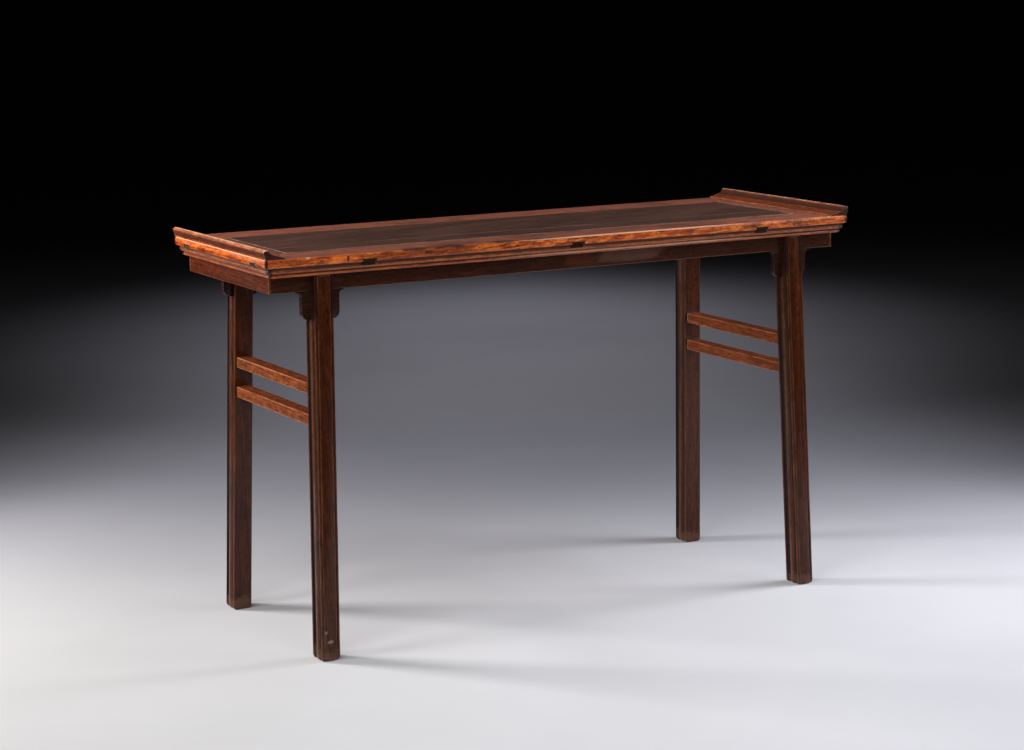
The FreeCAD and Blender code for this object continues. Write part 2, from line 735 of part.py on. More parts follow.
def stretcher_height(name):
    return f"({LEG_HEIGHT} - {STRETCHER_DROPS[name]})"


def stretcher_shoulder(height):
    """Distance from the middle of the table to a leg's inner face at the given height."""
    return splayed(f"{HALF_DEPTH} - leg_setback - leg_depth", "front_splay", height)


def stretcher_place(side):
    """The middle of a stretcher along the table, between the heights of the pair."""
    return leg_middle(side, f"({stretcher_height('upper')} + {stretcher_height('lower')}) / 2")


def make_stretcher(side_name, name):
    side = SIDES[side_name]
    body = new_body(f"{side_name}_{name}_stretcher")
    middle = stretcher_height(name)
    low, high = centred(middle, "stretcher_height")
    outline = [
        (f"-1 * {stretcher_shoulder(low)}", low),
        (stretcher_shoulder(low), low),
        (stretcher_shoulder(high), high),
        (f"-1 * {stretcher_shoulder(high)}", high),
    ]
    sketch = draw(body, "YZ_Plane", "side_outline", [outline],
                  f"{stretcher_place(side)} - stretcher_width / 2")
    pad(body, "bar", sketch, "stretcher_width")
    reach = f"({stretcher_shoulder(middle)} + stretcher_tenon_length - mortise_relief)"
    block(body, "tenons", centred(stretcher_place(side), "stretcher_tenon_width"),
          (f"-1 * {reach}", reach), centred(middle, "stretcher_tenon_height"))
    return body


pieces = [make_long_rail(face_name) for face_name in FACES]
pieces += [make_end_rail(side_name) for side_name in SIDES]
pieces += [make_panel_board(face_name) for face_name in FACES]
pieces += [make_batten(name) for name in BATTEN_PLACES]
pieces += [make_flange(side_name) for side_name in SIDES]
pieces += [make_long_apron(face_name) for face_name in FACES]
pieces += [make_end_apron(side_name) for side_name in SIDES]
pieces += [make_spandrel(face_name, side_name) for face_name in FACES for side_name in SIDES]
pieces += [make_leg(face_name, side_name) for face_name in FACES for side_name in SIDES]
pieces += [make_stretcher(side_name, name) for side_name in SIDES for name in STRETCHER_DROPS]

document.recompute()
for thing in document.Objects:
    if "Invalid" in thing.State or "Error" in thing.State:
        raise RuntimeError(f"{thing.Label} failed: {thing.State}")
for piece in pieces:
    if piece.Shape.isNull() or not piece.Shape.isValid() or len(piece.Shape.Solids) != 1:
        raise RuntimeError(f"{piece.Label} is not one valid solid")

os.makedirs("parts", exist_ok=True)
for piece in pieces:
    piece.Shape.exportStep(os.path.join("parts", piece.Label + ".step"))
    print(piece.Label, round(piece.Shape.Volume), "mm3")
print(len(pieces), "pieces")
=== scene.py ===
import math

import bmesh
import bpy
from mathutils import Matrix, Vector


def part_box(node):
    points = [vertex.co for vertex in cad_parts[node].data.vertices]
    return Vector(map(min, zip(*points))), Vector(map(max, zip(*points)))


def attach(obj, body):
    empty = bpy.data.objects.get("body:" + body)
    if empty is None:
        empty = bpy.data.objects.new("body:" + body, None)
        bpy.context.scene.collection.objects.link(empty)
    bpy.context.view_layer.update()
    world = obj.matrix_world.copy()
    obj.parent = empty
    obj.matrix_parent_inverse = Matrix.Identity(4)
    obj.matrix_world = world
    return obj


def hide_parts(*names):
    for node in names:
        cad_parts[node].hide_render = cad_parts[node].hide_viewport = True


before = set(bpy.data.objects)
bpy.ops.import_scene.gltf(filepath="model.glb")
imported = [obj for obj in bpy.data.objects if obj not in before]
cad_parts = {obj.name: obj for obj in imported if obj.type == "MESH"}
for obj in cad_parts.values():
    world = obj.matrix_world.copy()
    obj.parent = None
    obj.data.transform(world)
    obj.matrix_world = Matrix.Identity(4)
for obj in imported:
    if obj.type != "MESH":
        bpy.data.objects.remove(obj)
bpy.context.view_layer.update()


# The camera
# It stands where the photograph was taken from: off to the left of the table's front, at
# about eye height, looking slightly down through a long lens. Angles in degrees, metres.

CAMERA_PLACE = Vector((-2.6294, -4.8152, 1.4690))
CAMERA_YAW, CAMERA_PITCH, CAMERA_ROLL = -28.452, 9.970, -0.783
LENS_MM, SENSOR_MM = 87.76, 36.0

yaw, pitch, roll = (math.radians(angle) for angle in (CAMERA_YAW, CAMERA_PITCH, CAMERA_ROLL))
ahead = Vector((-math.sin(yaw) * math.cos(pitch), math.cos(yaw) * math.cos(pitch),
                -math.sin(pitch)))
level_right = ahead.cross(Vector((0, 0, 1))).normalized()
level_up = level_right.cross(ahead)
right = level_right * math.cos(roll) + level_up * math.sin(roll)
up = level_up * math.cos(roll) - level_right * math.sin(roll)
camera_data = bpy.data.cameras.new("photograph_view")
camera_data.lens, camera_data.sensor_width = LENS_MM, SENSOR_MM
camera = bpy.data.objects.new("photograph_view", camera_data)
camera.matrix_world = Matrix((right, up, -ahead)).transposed().to_4x4()
camera.location = CAMERA_PLACE
bpy.context.scene.collection.objects.link(camera)
bpy.context.scene.camera = camera
bpy.context.scene.view_settings.view_transform = "Standard"


# The studio
# A plain pale floor with a pool of light painted into its colour, dying away round the table, and
# a fainter painted glow far behind it. Three soft boxes stand to the left, one before the table
# and two to the right, and a small one hangs over the glow.

class Wiring:
    """Adds nodes to one tree. An input is given a value or another node's output."""

    def __init__(self, tree):
        self.tree = tree

    def add(self, kind, inputs=None, **settings):
        node = self.tree.nodes.new(kind)
        for name, value in settings.items():
            setattr(node, name, value)
        for socket, value in (inputs or {}).items():
            if isinstance(value, bpy.types.NodeSocket):
                self.tree.links.new(value, node.inputs[socket])
            else:
                node.inputs[socket].default_value = value
        return node

    def math(self, operation, *values, clamp=False):
        inputs = dict(enumerate(values))
        return self.add("ShaderNodeMath", inputs, operation=operation, use_clamp=clamp).outputs[0]

    def plus(self, first, second, clamp=False):
        return self.math("ADD", first, second, clamp=clamp)

    def minus(self, first, second):
        return self.math("SUBTRACT", first, second)

    def times(self, first, second):
        return self.math("MULTIPLY", first, second)

    def vector(self, operation, *values):
        inputs = dict(enumerate(values))
        return self.add("ShaderNodeVectorMath", inputs, operation=operation).outputs[0]

    def scaled(self, vector, scale):
        inputs = {0: vector, "Scale": scale}
        return self.add("ShaderNodeVectorMath", inputs, operation="SCALE").outputs[0]

    def measure(self, operation, *vectors):
        """A number taken from vectors: a length, a distance or a dot product."""
        inputs = dict(enumerate(vectors))
        return self.add("ShaderNodeVectorMath", inputs, operation=operation).outputs["Value"]

    def ramp(self, value, low, high, start=0.0, end=1.0, smooth=True):
        """Runs from start to end while the value goes from low to high."""
        kind = "SMOOTHSTEP" if smooth else "LINEAR"
        inputs = {"Value": value, "From Min": low, "From Max": high, "To Min": start, "To Max": end}
        return self.add("ShaderNodeMapRange", inputs, interpolation_type=kind).outputs[0]

    def noise(self, place, scale, detail=2.0, roughness=0.5, seed=None):
        inputs = {"Vector": place, "Scale": scale, "Detail": detail, "Roughness": roughness}
        if seed is None:
            return self.add("ShaderNodeTexNoise", inputs).outputs[0]
        inputs["W"] = seed
        return self.add("ShaderNodeTexNoise", inputs, noise_dimensions="4D").outputs[0]

    def figure(self, place, fineness, detail=2.0, roughness=0.5, seed=None):
        """Noise that is finer along some axes than along others."""
        place = self.vector("MULTIPLY", place, fineness)
        return self.noise(place, 1.0, detail, roughness, seed)

    def grey(self, value):
        return self.add("ShaderNodeCombineColor", {0: value, 1: value, 2: value}).outputs[0]

    def mix(self, share, first, second, blend="MIX"):
        """One colour laid over another by a share."""
        inputs = {0: share, 6: first, 7: second}
        return self.add("ShaderNodeMix", inputs, data_type="RGBA", blend_type=blend).outputs[2]


# The floor's colours, each with the two places between which it comes in, in metres. Together
# they paint a pool of light round the table that dies into dark, and a painted glow behind it.
VIEW_AHEAD, VIEW_RIGHT = (0.476, 0.879, 0), (0.879, -0.476, 0)
FLOOR_LEFT, FLOOR_RIGHT, RIGHTWARD = (0.55, 0.56, 0.585, 1), (0.865, 0.88, 0.96, 1), (-1.1, 1.0)
FLOOR_FAR, FARTHER = (0.29, 0.295, 0.355, 1), (-0.7, 1.5)
FLOOR_SIDE, OUTWARD = (0.07, 0.07, 0.08, 1), (1.1, 2.4)
FLOOR_NEAR, NEARER, NEAR_LEFT_OUT = (0.10, 0.10, 0.105, 1), (-1.2, -1.8), (-1.3, -0.2)
FLOOR_DARK, ROUND_ABOUT = (0.004, 0.004, 0.005, 1), (4.6, 7.6)
PAINTED_GLOW, PAINTED_GLOW_CENTRE, PAINTED_GLOW_REACH = (0.72, 0.71, 0.84, 1), (1.8, 3.5, 0), (0.3, 2.3)
POOL_LEAN, POOL_WIDER_BEHIND = 0.27, (0.1, 1.4, 0.45, 1.0)
CLOUDED, CLOUD_SHADES = (0.3, 0.7), (0.97, 1.02)
SURROUND, BACKDROP = (0.02, 0.02, 0.0206, 1), (0.004, 0.004, 0.006, 1)
FLOOR_EDGE = 60.0

floor_finish = bpy.data.materials.new("studio_floor")
floor_finish.use_nodes = True
wiring = Wiring(floor_finish.node_tree)
floor_place = wiring.add("ShaderNodeTexCoord").outputs["Object"]
deep = wiring.measure("DOT_PRODUCT", floor_place, VIEW_AHEAD)
aside = wiring.measure("DOT_PRODUCT", floor_place, VIEW_RIGHT)
colour = wiring.mix(wiring.ramp(aside, *RIGHTWARD), FLOOR_LEFT, FLOOR_RIGHT)
colour = wiring.mix(wiring.ramp(deep, *FARTHER), colour, FLOOR_FAR)
sideways = wiring.times(wiring.math("ABSOLUTE", aside), wiring.ramp(deep, *POOL_WIDER_BEHIND))
outward = wiring.plus(wiring.times(deep, POOL_LEAN), sideways)
colour = wiring.mix(wiring.ramp(outward, *OUTWARD), colour, FLOOR_SIDE)
nearer = wiring.times(wiring.ramp(deep, *NEARER), wiring.ramp(aside, *NEAR_LEFT_OUT))
colour = wiring.mix(nearer, colour, FLOOR_NEAR)
from_painted_glow = wiring.measure("DISTANCE", floor_place, PAINTED_GLOW_CENTRE)
colour = wiring.mix(wiring.ramp(from_painted_glow, *PAINTED_GLOW_REACH, 1.0, 0.0), colour, PAINTED_GLOW)
distance = wiring.measure("LENGTH", floor_place)
colour = wiring.mix(wiring.ramp(distance, *ROUND_ABOUT), colour, FLOOR_DARK)
mottle = wiring.ramp(wiring.noise(floor_place, 1.7, 4), *CLOUDED, *CLOUD_SHADES)
colour = wiring.mix(1.0, colour, wiring.grey(mottle), "MULTIPLY")
floor_shader = floor_finish.node_tree.nodes["Principled BSDF"]
floor_finish.node_tree.links.new(colour, floor_shader.inputs["Base Color"])
floor_shader.inputs["Roughness"].default_value = 0.85
floor_shader.inputs["Specular IOR Level"].default_value = 0.2

floor_mesh = bpy.data.meshes.new("studio_floor")
floor_corners = [(x * FLOOR_EDGE, y * FLOOR_EDGE, 0)
                 for x, y in ((-1, -1), (1, -1), (1, 1), (-1, 1))]
floor_mesh.from_pydata(floor_corners, [], [(0, 1, 2, 3)])
floor_mesh.materials.append(floor_finish)
floor = bpy.data.objects.new("studio_floor", floor_mesh)
bpy.context.scene.collection.objects.link(floor)

world = bpy.data.worlds.new("studio")
world.use_nodes = True
wiring = Wiring(world.node_tree)
rays = wiring.add("ShaderNodeLightPath").outputs
seen = wiring.math("MAXIMUM", rays["Is Glossy Ray"], rays["Is Transmission Ray"])
seen = wiring.math("MAXIMUM", rays["Is Camera Ray"], seen)
background = world.node_tree.nodes["Background"]
world.node_tree.links.new(wiring.mix(seen, SURROUND, BACKDROP), background.inputs["Color"])
bpy.context.scene.world = world

# Place, point that it faces, width and height, watts, spread in degrees, and colour
SOFT_BOXES = {
    "rear_left": ((-1.95, 1.25, 1.35), (-0.3, -0.1, 0.60), (0.6, 1.4), 58, 180, (1.0, 0.95, 0.89)),
    "left": ((-2.30, -0.10, 1.80), (0.0, 0.0, 0.50), (0.6, 0.9), 17, 180, (1.0, 0.96, 0.92)),
    "front_left": ((-2.20, -1.75, 2.45), (0.0, 0.0, 0.50), (1.5, 1.1), 35, 180, (1.0, 0.98, 0.95)),
    "front": ((-0.60, -3.20, 1.45), (0.0, 0.0, 0.50), (1.4, 0.6), 15, 180, (1.0, 1.0, 1.0)),
    "front_right": ((2.10, -1.90, 1.50), (0.2, 0.0, 0.70), (1.2, 1.2), 14, 180, (1.0, 1.0, 1.0)),
    "right": ((1.75, -0.45, 1.45), (0.3, 0.0, 0.45), (0.6, 1.2), 25, 180, (1.0, 1.0, 1.0)),
    "backdrop": ((2.10, 4.00, 1.60), (2.1, 4.0, 0.00), (1.3, 0.9), 1.1, 110, (0.96, 0.97, 1.0)),
}
for name, (place, target, size, watts, spread, colour) in SOFT_BOXES.items():
    lamp = bpy.data.lights.new(name + "_soft_box", "AREA")
    lamp.shape, (lamp.size, lamp.size_y) = "RECTANGLE", size
    lamp.energy, lamp.spread, lamp.color = watts, math.radians(spread), colour
    soft_box = bpy.data.objects.new(lamp.name, lamp)
    soft_box.location = place
    facing = Vector(target) - Vector(place)
    soft_box.rotation_euler = facing.to_track_quat("-Z", "Y").to_euler()
    soft_box.visible_camera = False
    bpy.context.scene.collection.objects.link(soft_box)


# The two long rails of the frame
# Front and rear rails of a rosewood mitred frame. Each is one board whose outer edge is planed
# to a moulding, with a groove for the panel, three mortises for battens and two through tenons.

MM = 0.001
FRAME_END, FRAME_SIDE, TOP = 710, 250, 840
PANEL_END, PANEL_SIDE = 628, 155
SQUARE_MITRE = 20

# Setback from the outermost face, depth under the top, rounding, and how far an arc that
# arrives there bulges out of the wood (or, below nought, into it)
MOULDED_EDGE = [
    (1.2, 0, 1.6),
    (1.2, 18, 0.8, 1.2),
    (6.5, 18, 0.6),
    (7.5, 25, 0.5, -1.0),
    (12, 31.5, 0.6, 1.6),
    (14.5, 31.5, 0.4),
    (14.5, 34, 0.4),
    (13, 34, 0.5),
    (15, 40, 0.7, 1.4),
]

# Radians from one point to the next along an arc and round an arris, and the least turn rounded
ARC_STEP, ARRIS_STEP, LEAST_TURN = 0.35, 0.55, 0.05


def with_arcs(corners):
    """An outline's points, each with its rounding, with points added along its arcs."""
    turning = sum(a[0] * b[1] - b[0] * a[1] for a, b in zip(corners, corners[1:] + corners[:1]))
    points = []
    for last, corner in zip(corners[-1:] + corners[:-1], corners):
        begin, end = Vector(last[:2]), Vector(corner[:2])
        if len(corner) == 4:
            rise, chord = corner[3] * math.copysign(1, turning), end - begin
            across = Vector((chord.y, -chord.x)).normalized()
            radius = (chord.length ** 2 / 4 + rise ** 2) / (2 * abs(rise))
            swept = 2 * math.asin(min(1, chord.length / 2 / radius))
            count = max(3, min(8, round(swept / ARC_STEP) + 3))
            for step in range(1, count):
                share = step / count
                points.append((begin + chord * share + across * rise * 4 * share * (1 - share), 0))
        points.append((end, corner[2]))
    return points


def with_round_arrises(points):
    """The places along an outline once the corners that have a radius are rounded off."""
    rounded = []
    for i, (place, radius) in enumerate(points):
        before = (points[i - 1][0] - place).normalized()
        after = (points[(i + 1) % len(points)][0] - place).normalized()
        turn = math.pi - before.angle(after)
        if radius == 0 or turn < LEAST_TURN:
            rounded.append(place)
            continue
        reach = radius * math.tan(turn / 2)
        start, end = place + before * reach, place + after * reach
        count = max(2, math.ceil(turn / ARRIS_STEP))
        for step in range(count + 1):
            share = step / count
            rounded.append(start * (1 - share) ** 2 + place * 2 * share * (1 - share)
                           + end * share ** 2)
    return rounded


def softened(corners, longest=9.0, guard=1.8):
    """A closed outline with its corners rounded and its long sides divided, in millimetres."""
    rounded = with_round_arrises(with_arcs(corners))
    outline = []
    for place, following in zip(rounded, rounded[1:] + rounded[:1]):
        side = following - place
        outline.append(place)
        if side.length < guard * 3:
            continue
        inner = side.length - 2 * guard
        count = max(1, math.ceil(inner / longest))
        for step in range(count + 1):
            outline.append(place + side.normalized() * (guard + inner * step / count))
    return outline


def node_tree(name, kind, inputs, outputs):
    """A new group to wire up. An input is given a number, or else the kind of its socket."""
    tree = bpy.data.node_groups.new(name, kind)
    for label, usual in inputs.items():
        socket = usual if isinstance(usual, str) else "Float"
        made = tree.interface.new_socket(label, in_out="INPUT", socket_type="NodeSocket" + socket)
        if socket != usual:
            made.default_value = usual
    for label, socket in outputs.items():
        tree.interface.new_socket(label, in_out="OUTPUT", socket_type="NodeSocket" + socket)
    wiring = Wiring(tree)
    return tree, wiring, wiring.add("NodeGroupInput").outputs


def end_tree(wiring, geometry, material):
    geometry = wiring.add("GeometryNodeRealizeInstances", {0: geometry}).outputs[0]
    ended = wiring.add("GeometryNodeSetMaterial", {"Geometry": geometry, "Material": material})
    wiring.add("NodeGroupOutput", {0: ended.outputs[0]})


# A moulding is one section run along a straight length, in millimetres: the object's own curve
# is the section
moulding_run, wiring, given = node_tree(
    "moulding_run", "GeometryNodeTree",
    {"Geometry": "Geometry", "Length": 1000.0, "Spacing": 4.0, "Material": "Material"},
    {"Geometry": "Geometry"})
half = wiring.times(given["Length"], 0.5)
near = wiring.add("ShaderNodeCombineXYZ", {0: wiring.times(half, -1.0)}).outputs[0]
far = wiring.add("ShaderNodeCombineXYZ", {0: half}).outputs[0]
line = wiring.add("GeometryNodeCurvePrimitiveLine", {"Start": near, "End": far}).outputs[0]
stations = wiring.math("CEIL", wiring.math("DIVIDE", given["Length"], given["Spacing"]))
line = wiring.add("GeometryNodeResampleCurve", {
    "Curve": line, "Count": wiring.plus(stations, 1)}).outputs[0]
swept = wiring.add("GeometryNodeCurveToMesh", {
    "Curve": line, "Profile Curve": given["Geometry"], "Fill Caps": True}).outputs[0]
end_tree(wiring, swept, given["Material"])

# Long handling, in metres: the faces waver where a hand plane left them, arrises are rubbed down
# unevenly and nicked, and the masks of arris and hollow are left for the finish to read
handled, wiring, given = node_tree(
    "handled", "GeometryNodeTree",
    {"Geometry": "Geometry", "Waver": 0.0002, "Waver Length": 0.12, "Rub": 0.0003,
     "Nick Depth": 0.0012, "Nick Length": 0.012, "Nick Share": 0.3, "Seed": 0.0,
     "Material": "Material"},
    {"Geometry": "Geometry"})
turn = wiring.add("GeometryNodeInputMeshEdgeAngle").outputs["Signed Angle"]
masks = {}
for name, sign, gentle, full in (("arris", 1.0, 0.05, 0.2), ("hollow", -1.0, 0.03, 0.15)):
    sharp = wiring.math("MAXIMUM", wiring.times(turn, sign), 0.0)
    sharp = wiring.math("MINIMUM", sharp, 1.2)
    sharp = wiring.add("GeometryNodeFieldOnDomain", {"Value": sharp}, domain="EDGE").outputs[0]
    masks[name] = wiring.ramp(sharp, gentle, full)
worked = given["Geometry"]
for name, mask in masks.items():
    worked = wiring.add("GeometryNodeStoreNamedAttribute", {
        "Geometry": worked, "Name": name, "Value": mask},
        data_type="FLOAT", domain="POINT").outputs[0]
place = wiring.add("GeometryNodeInputPosition").outputs[0]
arris = wiring.add("GeometryNodeInputNamedAttribute", {"Name": "arris"},
                   data_type="FLOAT").outputs[0]
seed = given["Seed"]
waver = wiring.vector("DIVIDE", place, given["Waver Length"])
waver = wiring.times(wiring.noise(waver, 1.0, 1.0, seed=seed), given["Waver"])
rub = wiring.ramp(wiring.noise(place, 35.0, 2.0, seed=wiring.plus(seed, 3.0)), 0.35, 0.7)
rub = wiring.times(wiring.times(rub, given["Rub"]), arris)
nick = wiring.vector("DIVIDE", place, given["Nick Length"])
nick = wiring.noise(nick, 1.0, 2.0, 0.6, seed=wiring.plus(seed, 7.0))
edge = wiring.minus(0.80, wiring.times(given["Nick Share"], 0.4))
nick = wiring.ramp(nick, edge, wiring.plus(edge, 0.08))
nick = wiring.times(wiring.times(nick, given["Nick Depth"]), arris)
lost = wiring.plus(wiring.plus(waver, rub), nick)
outward = wiring.add("GeometryNodeInputNormal").outputs[0]
worked = wiring.add("GeometryNodeSetPosition", {
    "Geometry": worked, "Offset": wiring.scaled(outward, wiring.times(lost, -1.0))}).outputs[0]
end_tree(wiring, worked, given["Material"])


def set_inputs(modifier, values):
    for item in modifier.node_group.interface.items_tree:
        if item.name in values and item.in_out == "INPUT":
            modifier[item.identifier] = values[item.name]


def evaluated_mesh(shape):
    depsgraph = bpy.context.evaluated_depsgraph_get()
    return bpy.data.meshes.new_from_object(
        shape.evaluated_get(depsgraph), preserve_all_data_layers=True, depsgraph=depsgraph)


def run(name, outline, length, spacing=4.0):
    """The outline swept along its length. A vertex is (along, across, down) in millimetres."""
    curve = bpy.data.curves.new(name, "CURVE")
    curve.dimensions = "3D"
    section = curve.splines.new("POLY")
    section.points.add(len(outline) - 1)
    for point, (across, down) in zip(section.points, outline):
        point.co = (-across, -down, 0, 1)
    section.use_cyclic_u = True
    drawn = bpy.data.objects.new(name, curve)
    bpy.context.scene.collection.objects.link(drawn)
    modifier = drawn.modifiers.new("moulding_run", "NODES")
    modifier.node_group = moulding_run
    set_inputs(modifier, {"Length": float(length), "Spacing": float(spacing)})
    mesh = evaluated_mesh(drawn)
    bpy.data.objects.remove(drawn)
    bpy.data.curves.remove(curve)
    mesh.name = name
    return mesh


def shaped(mesh, place):
    """Puts every vertex where place(along, across, down) says, and scales the mesh to metres."""
    for vertex in mesh.vertices:
        vertex.co = Vector(place(*vertex.co)) * MM
    work = bmesh.new()
    work.from_mesh(mesh)
    bmesh.ops.recalc_face_normals(work, faces=work.faces)
    work.to_mesh(mesh)
    work.free()
    return mesh


def box(x_span, y_span, z_span):
    """An upright box for cut_or_joined, as its outline seen from the front and its depth."""
    (left, right), (foot, head) = sorted(x_span), sorted(z_span)
    return [(left, foot), (right, foot), (right, head), (left, head)], sorted(y_span)


def cut_or_joined(piece, operation, solids):
    """Cuts prisms out of the piece or joins them to it: each an (x, z) outline and a y span."""
    work = bmesh.new()
    for outline, (near, far) in solids:
        flat = work.faces.new([work.verts.new((x * MM, near * MM, z * MM)) for x, z in outline])
        deep = bmesh.ops.extrude_face_region(work, geom=[flat])["geom"]
        for part in deep:
            if isinstance(part, bmesh.types.BMVert):
                part.co.y = far * MM
    bmesh.ops.recalc_face_normals(work, faces=work.faces)
    mesh = bpy.data.meshes.new(piece.name + "_tool")
    work.to_mesh(mesh)
    work.free()
    tool = bpy.data.objects.new(mesh.name, mesh)
    bpy.context.scene.collection.objects.link(tool)
    modifier = piece.modifiers.new("joinery", "BOOLEAN")
    modifier.operation, modifier.object, modifier.solver = operation, tool, "EXACT"
    made = evaluated_mesh(piece)
    piece.modifiers.clear()
    piece.data = made
    bpy.data.objects.remove(tool)


def piece_of(mesh):
    piece = bpy.data.objects.new(mesh.name, mesh)
    bpy.context.scene.collection.objects.link(piece)
    return piece


SHARPEST_SMOOTH = math.radians(38)
WEAR = {"waver": "Waver", "waver_length": "Waver Length", "rub": "Rub", "nick": "Nick Depth",
        "nick_length": "Nick Length", "nicks": "Nick Share"}


def finished(piece, node, slot, material, seed, **wear):
    """Ages the piece, gives it its finish, and lets it stand for the CAD node."""
    modifier = piece.modifiers.new("handled", "NODES")
    modifier.node_group = handled
    set_inputs(modifier, {"Seed": float(seed), "Material": material,
                          **{WEAR[key]: value for key, value in wear.items()}})
    made = evaluated_mesh(piece)
    piece.modifiers.clear()
    piece.data = made
    lowest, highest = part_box(node)
    for vertex in made.vertices:
        vertex.co = [min(max(place, low), high)
                     for place, low, high in zip(vertex.co, lowest, highest)]
    made.name = piece.name
    made.shade_smooth()
    made.set_sharp_from_angle(angle=SHARPEST_SMOOTH)
    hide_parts(node)
    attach(piece, "root")


# Figured wood: growth rings cut along the board, fine fibre, short dark pores and a slow mottle.
# The board's length runs along X of the vector; colours go from the pale wood to the dark lines.
figured_wood, wiring, given = node_tree(
    "figured_wood", "ShaderNodeTree",
    {"Vector": "Vector", "Board": 0.0, "Pale": "Color", "Body": "Color", "Dark": "Color",
     "Ring Width": 0.006, "Flow": 0.012, "Streaks": 0.5, "Mottle": 0.5},
    {"Colour": "Color", "Height": "Float", "Gloss": "Float"})
board = given["Board"]
slow = wiring.vector("MULTIPLY", given["Vector"], (1.1, 7.0, 7.0))
bend = wiring.add("ShaderNodeTexNoise", {
    "Vector": slow, "W": board, "Scale": 1.6, "Detail": 3.0, "Roughness": 0.55},
    noise_dimensions="4D").outputs["Color"]
bend = wiring.vector("SUBTRACT", bend, (0.5, 0.5, 0.5))
bend = wiring.scaled(bend, wiring.times(given["Flow"], 4.0))
flowing = wiring.vector("ADD", given["Vector"], bend)
# The tree's middle lies some way off the board, and the board is cut at a slant to it
tilted = wiring.add("ShaderNodeMapping", {
    "Vector": flowing, "Location": (0, 0.055, 0.085), "Rotation": (0, 0.045, 0.03)}).outputs[0]
parts = wiring.add("ShaderNodeSeparateXYZ", {0: tilted}).outputs
radius = wiring.math("SQRT", wiring.plus(wiring.math("POWER", parts[1], 2.0),
                                         wiring.math("POWER", parts[2], 2.0)))
ring = wiring.plus(wiring.math("DIVIDE", radius, given["Ring Width"]), wiring.times(board, 13.0))
rings = wiring.add("ShaderNodeTexNoise", {
    "W": ring, "Scale": 1.0, "Detail": 3.0, "Roughness": 0.62}, noise_dimensions="1D").outputs[0]
pale_bands = wiring.ramp(rings, 0.44, 0.66)
dark_lines = wiring.times(wiring.ramp(rings, 0.45, 0.30), given["Streaks"])
fibre = wiring.figure(flowing, (9.0, 420.0, 420.0), 3.0, 0.6, board)
pores = wiring.ramp(wiring.figure(flowing, (130.0, 1500.0, 1500.0), 1.0, 0.5, board), 0.66, 0.74)
mottled = wiring.figure(flowing, (36.0, 130.0, 130.0), 4.0, 0.62, board)
blotches = wiring.figure(flowing, (17.0, 105.0, 105.0), 5.0, 0.66, wiring.plus(board, 5.0))
specks = wiring.figure(flowing, (110.0, 520.0, 520.0), 2.0, 0.5, wiring.plus(board, 9.0))
lit = wiring.times(wiring.ramp(mottled, 0.45, 0.58), given["Mottle"])
pale_share = wiring.plus(wiring.times(pale_bands, 0.4), wiring.times(lit, 0.8), clamp=True)
colour = wiring.mix(pale_share, given["Body"], given["Pale"])
shadowed = wiring.times(wiring.ramp(blotches, 0.50, 0.34), given["Mottle"])
shadowed = wiring.plus(wiring.times(shadowed, 0.85), wiring.times(dark_lines, 0.5), clamp=True)
colour = wiring.mix(shadowed, colour, given["Dark"])
colour = wiring.mix(wiring.times(wiring.ramp(specks, 0.55, 0.64), 0.75), colour, given["Dark"])
fibre_shade = wiring.ramp(fibre, 0.25, 0.75, 0.82, 1.14, smooth=False)
colour = wiring.mix(1.0, colour, wiring.grey(fibre_shade), "MULTIPLY")
colour = wiring.mix(wiring.times(pores, 0.55), colour, given["Dark"])
height = wiring.minus(wiring.times(fibre, 0.25), wiring.times(pores, 0.5))
height = wiring.plus(height, wiring.times(rings, 0.35))
gloss = wiring.ramp(fibre, 0.2, 0.8, -0.05, 0.05, smooth=False)
gloss = wiring.plus(gloss, wiring.times(pores, 0.1))
wiring.add("NodeGroupOutput", {"Colour": colour, "Height": height, "Gloss": gloss})

# Old finish over any wood: arrises rubbed pale in broken lengths, which also paints highlights
# along them, grime with painted shade in the hollows, cloudy darkening and a few fine scratches.
# Arris and Hollow are the masks left on the mesh.
old_finish, wiring, given = node_tree(
    "old_finish", "ShaderNodeTree",
    {"Vector": "Vector", "Board": 0.0, "Colour": "Color", "Height": 0.0, "Arris": 0.0,
     "Hollow": 0.0, "Rubbed And Highlit": "Color", "Grime And Shade": "Color", "Rub And Highlight Share": 0.6, "Cloud": 0.4,
     "Scratches": 0.3},
    {"Colour": "Color", "Height": "Float", "Roughness": "Float", "Shine": "Float"})
board = given["Board"]
broken = wiring.figure(given["Vector"], (22.0, 60.0, 60.0), 4.0, 0.65, board)
# Rubbed arrises, pale in broken lengths: real wear that also paints highlights along the arrises.
rubbed_and_highlit = wiring.times(wiring.ramp(broken, 0.30, 0.62), given["Rub And Highlight Share"])
rubbed_and_highlit = wiring.times(rubbed_and_highlit, wiring.ramp(given["Arris"], 0.05, 0.5))
clouds = wiring.figure(given["Vector"], (5.0, 14.0, 14.0), 5.0, 0.62, wiring.plus(board, 11.0))
cloud = wiring.times(wiring.ramp(clouds, 0.50, 0.72), given["Cloud"])
colour = wiring.mix(cloud, given["Colour"], given["Grime And Shade"])
scratch_place = wiring.add("ShaderNodeMapping", {
    "Vector": given["Vector"], "Rotation": (0.3, 0.5, 0.62),
    "Scale": (5.0, 260.0, 260.0)}).outputs[0]
scratch = wiring.ramp(wiring.noise(scratch_place, 1.0, 2.0, 0.5, board), 0.70, 0.76)
patchy = wiring.ramp(wiring.noise(given["Vector"], 9.0, 2.0, 0.5, board), 0.50, 0.66)
scratch = wiring.times(wiring.times(scratch, patchy), given["Scratches"])
colour = wiring.mix(wiring.times(scratch, 0.5), colour, given["Rubbed And Highlit"])
colour = wiring.mix(rubbed_and_highlit, colour, given["Rubbed And Highlit"])
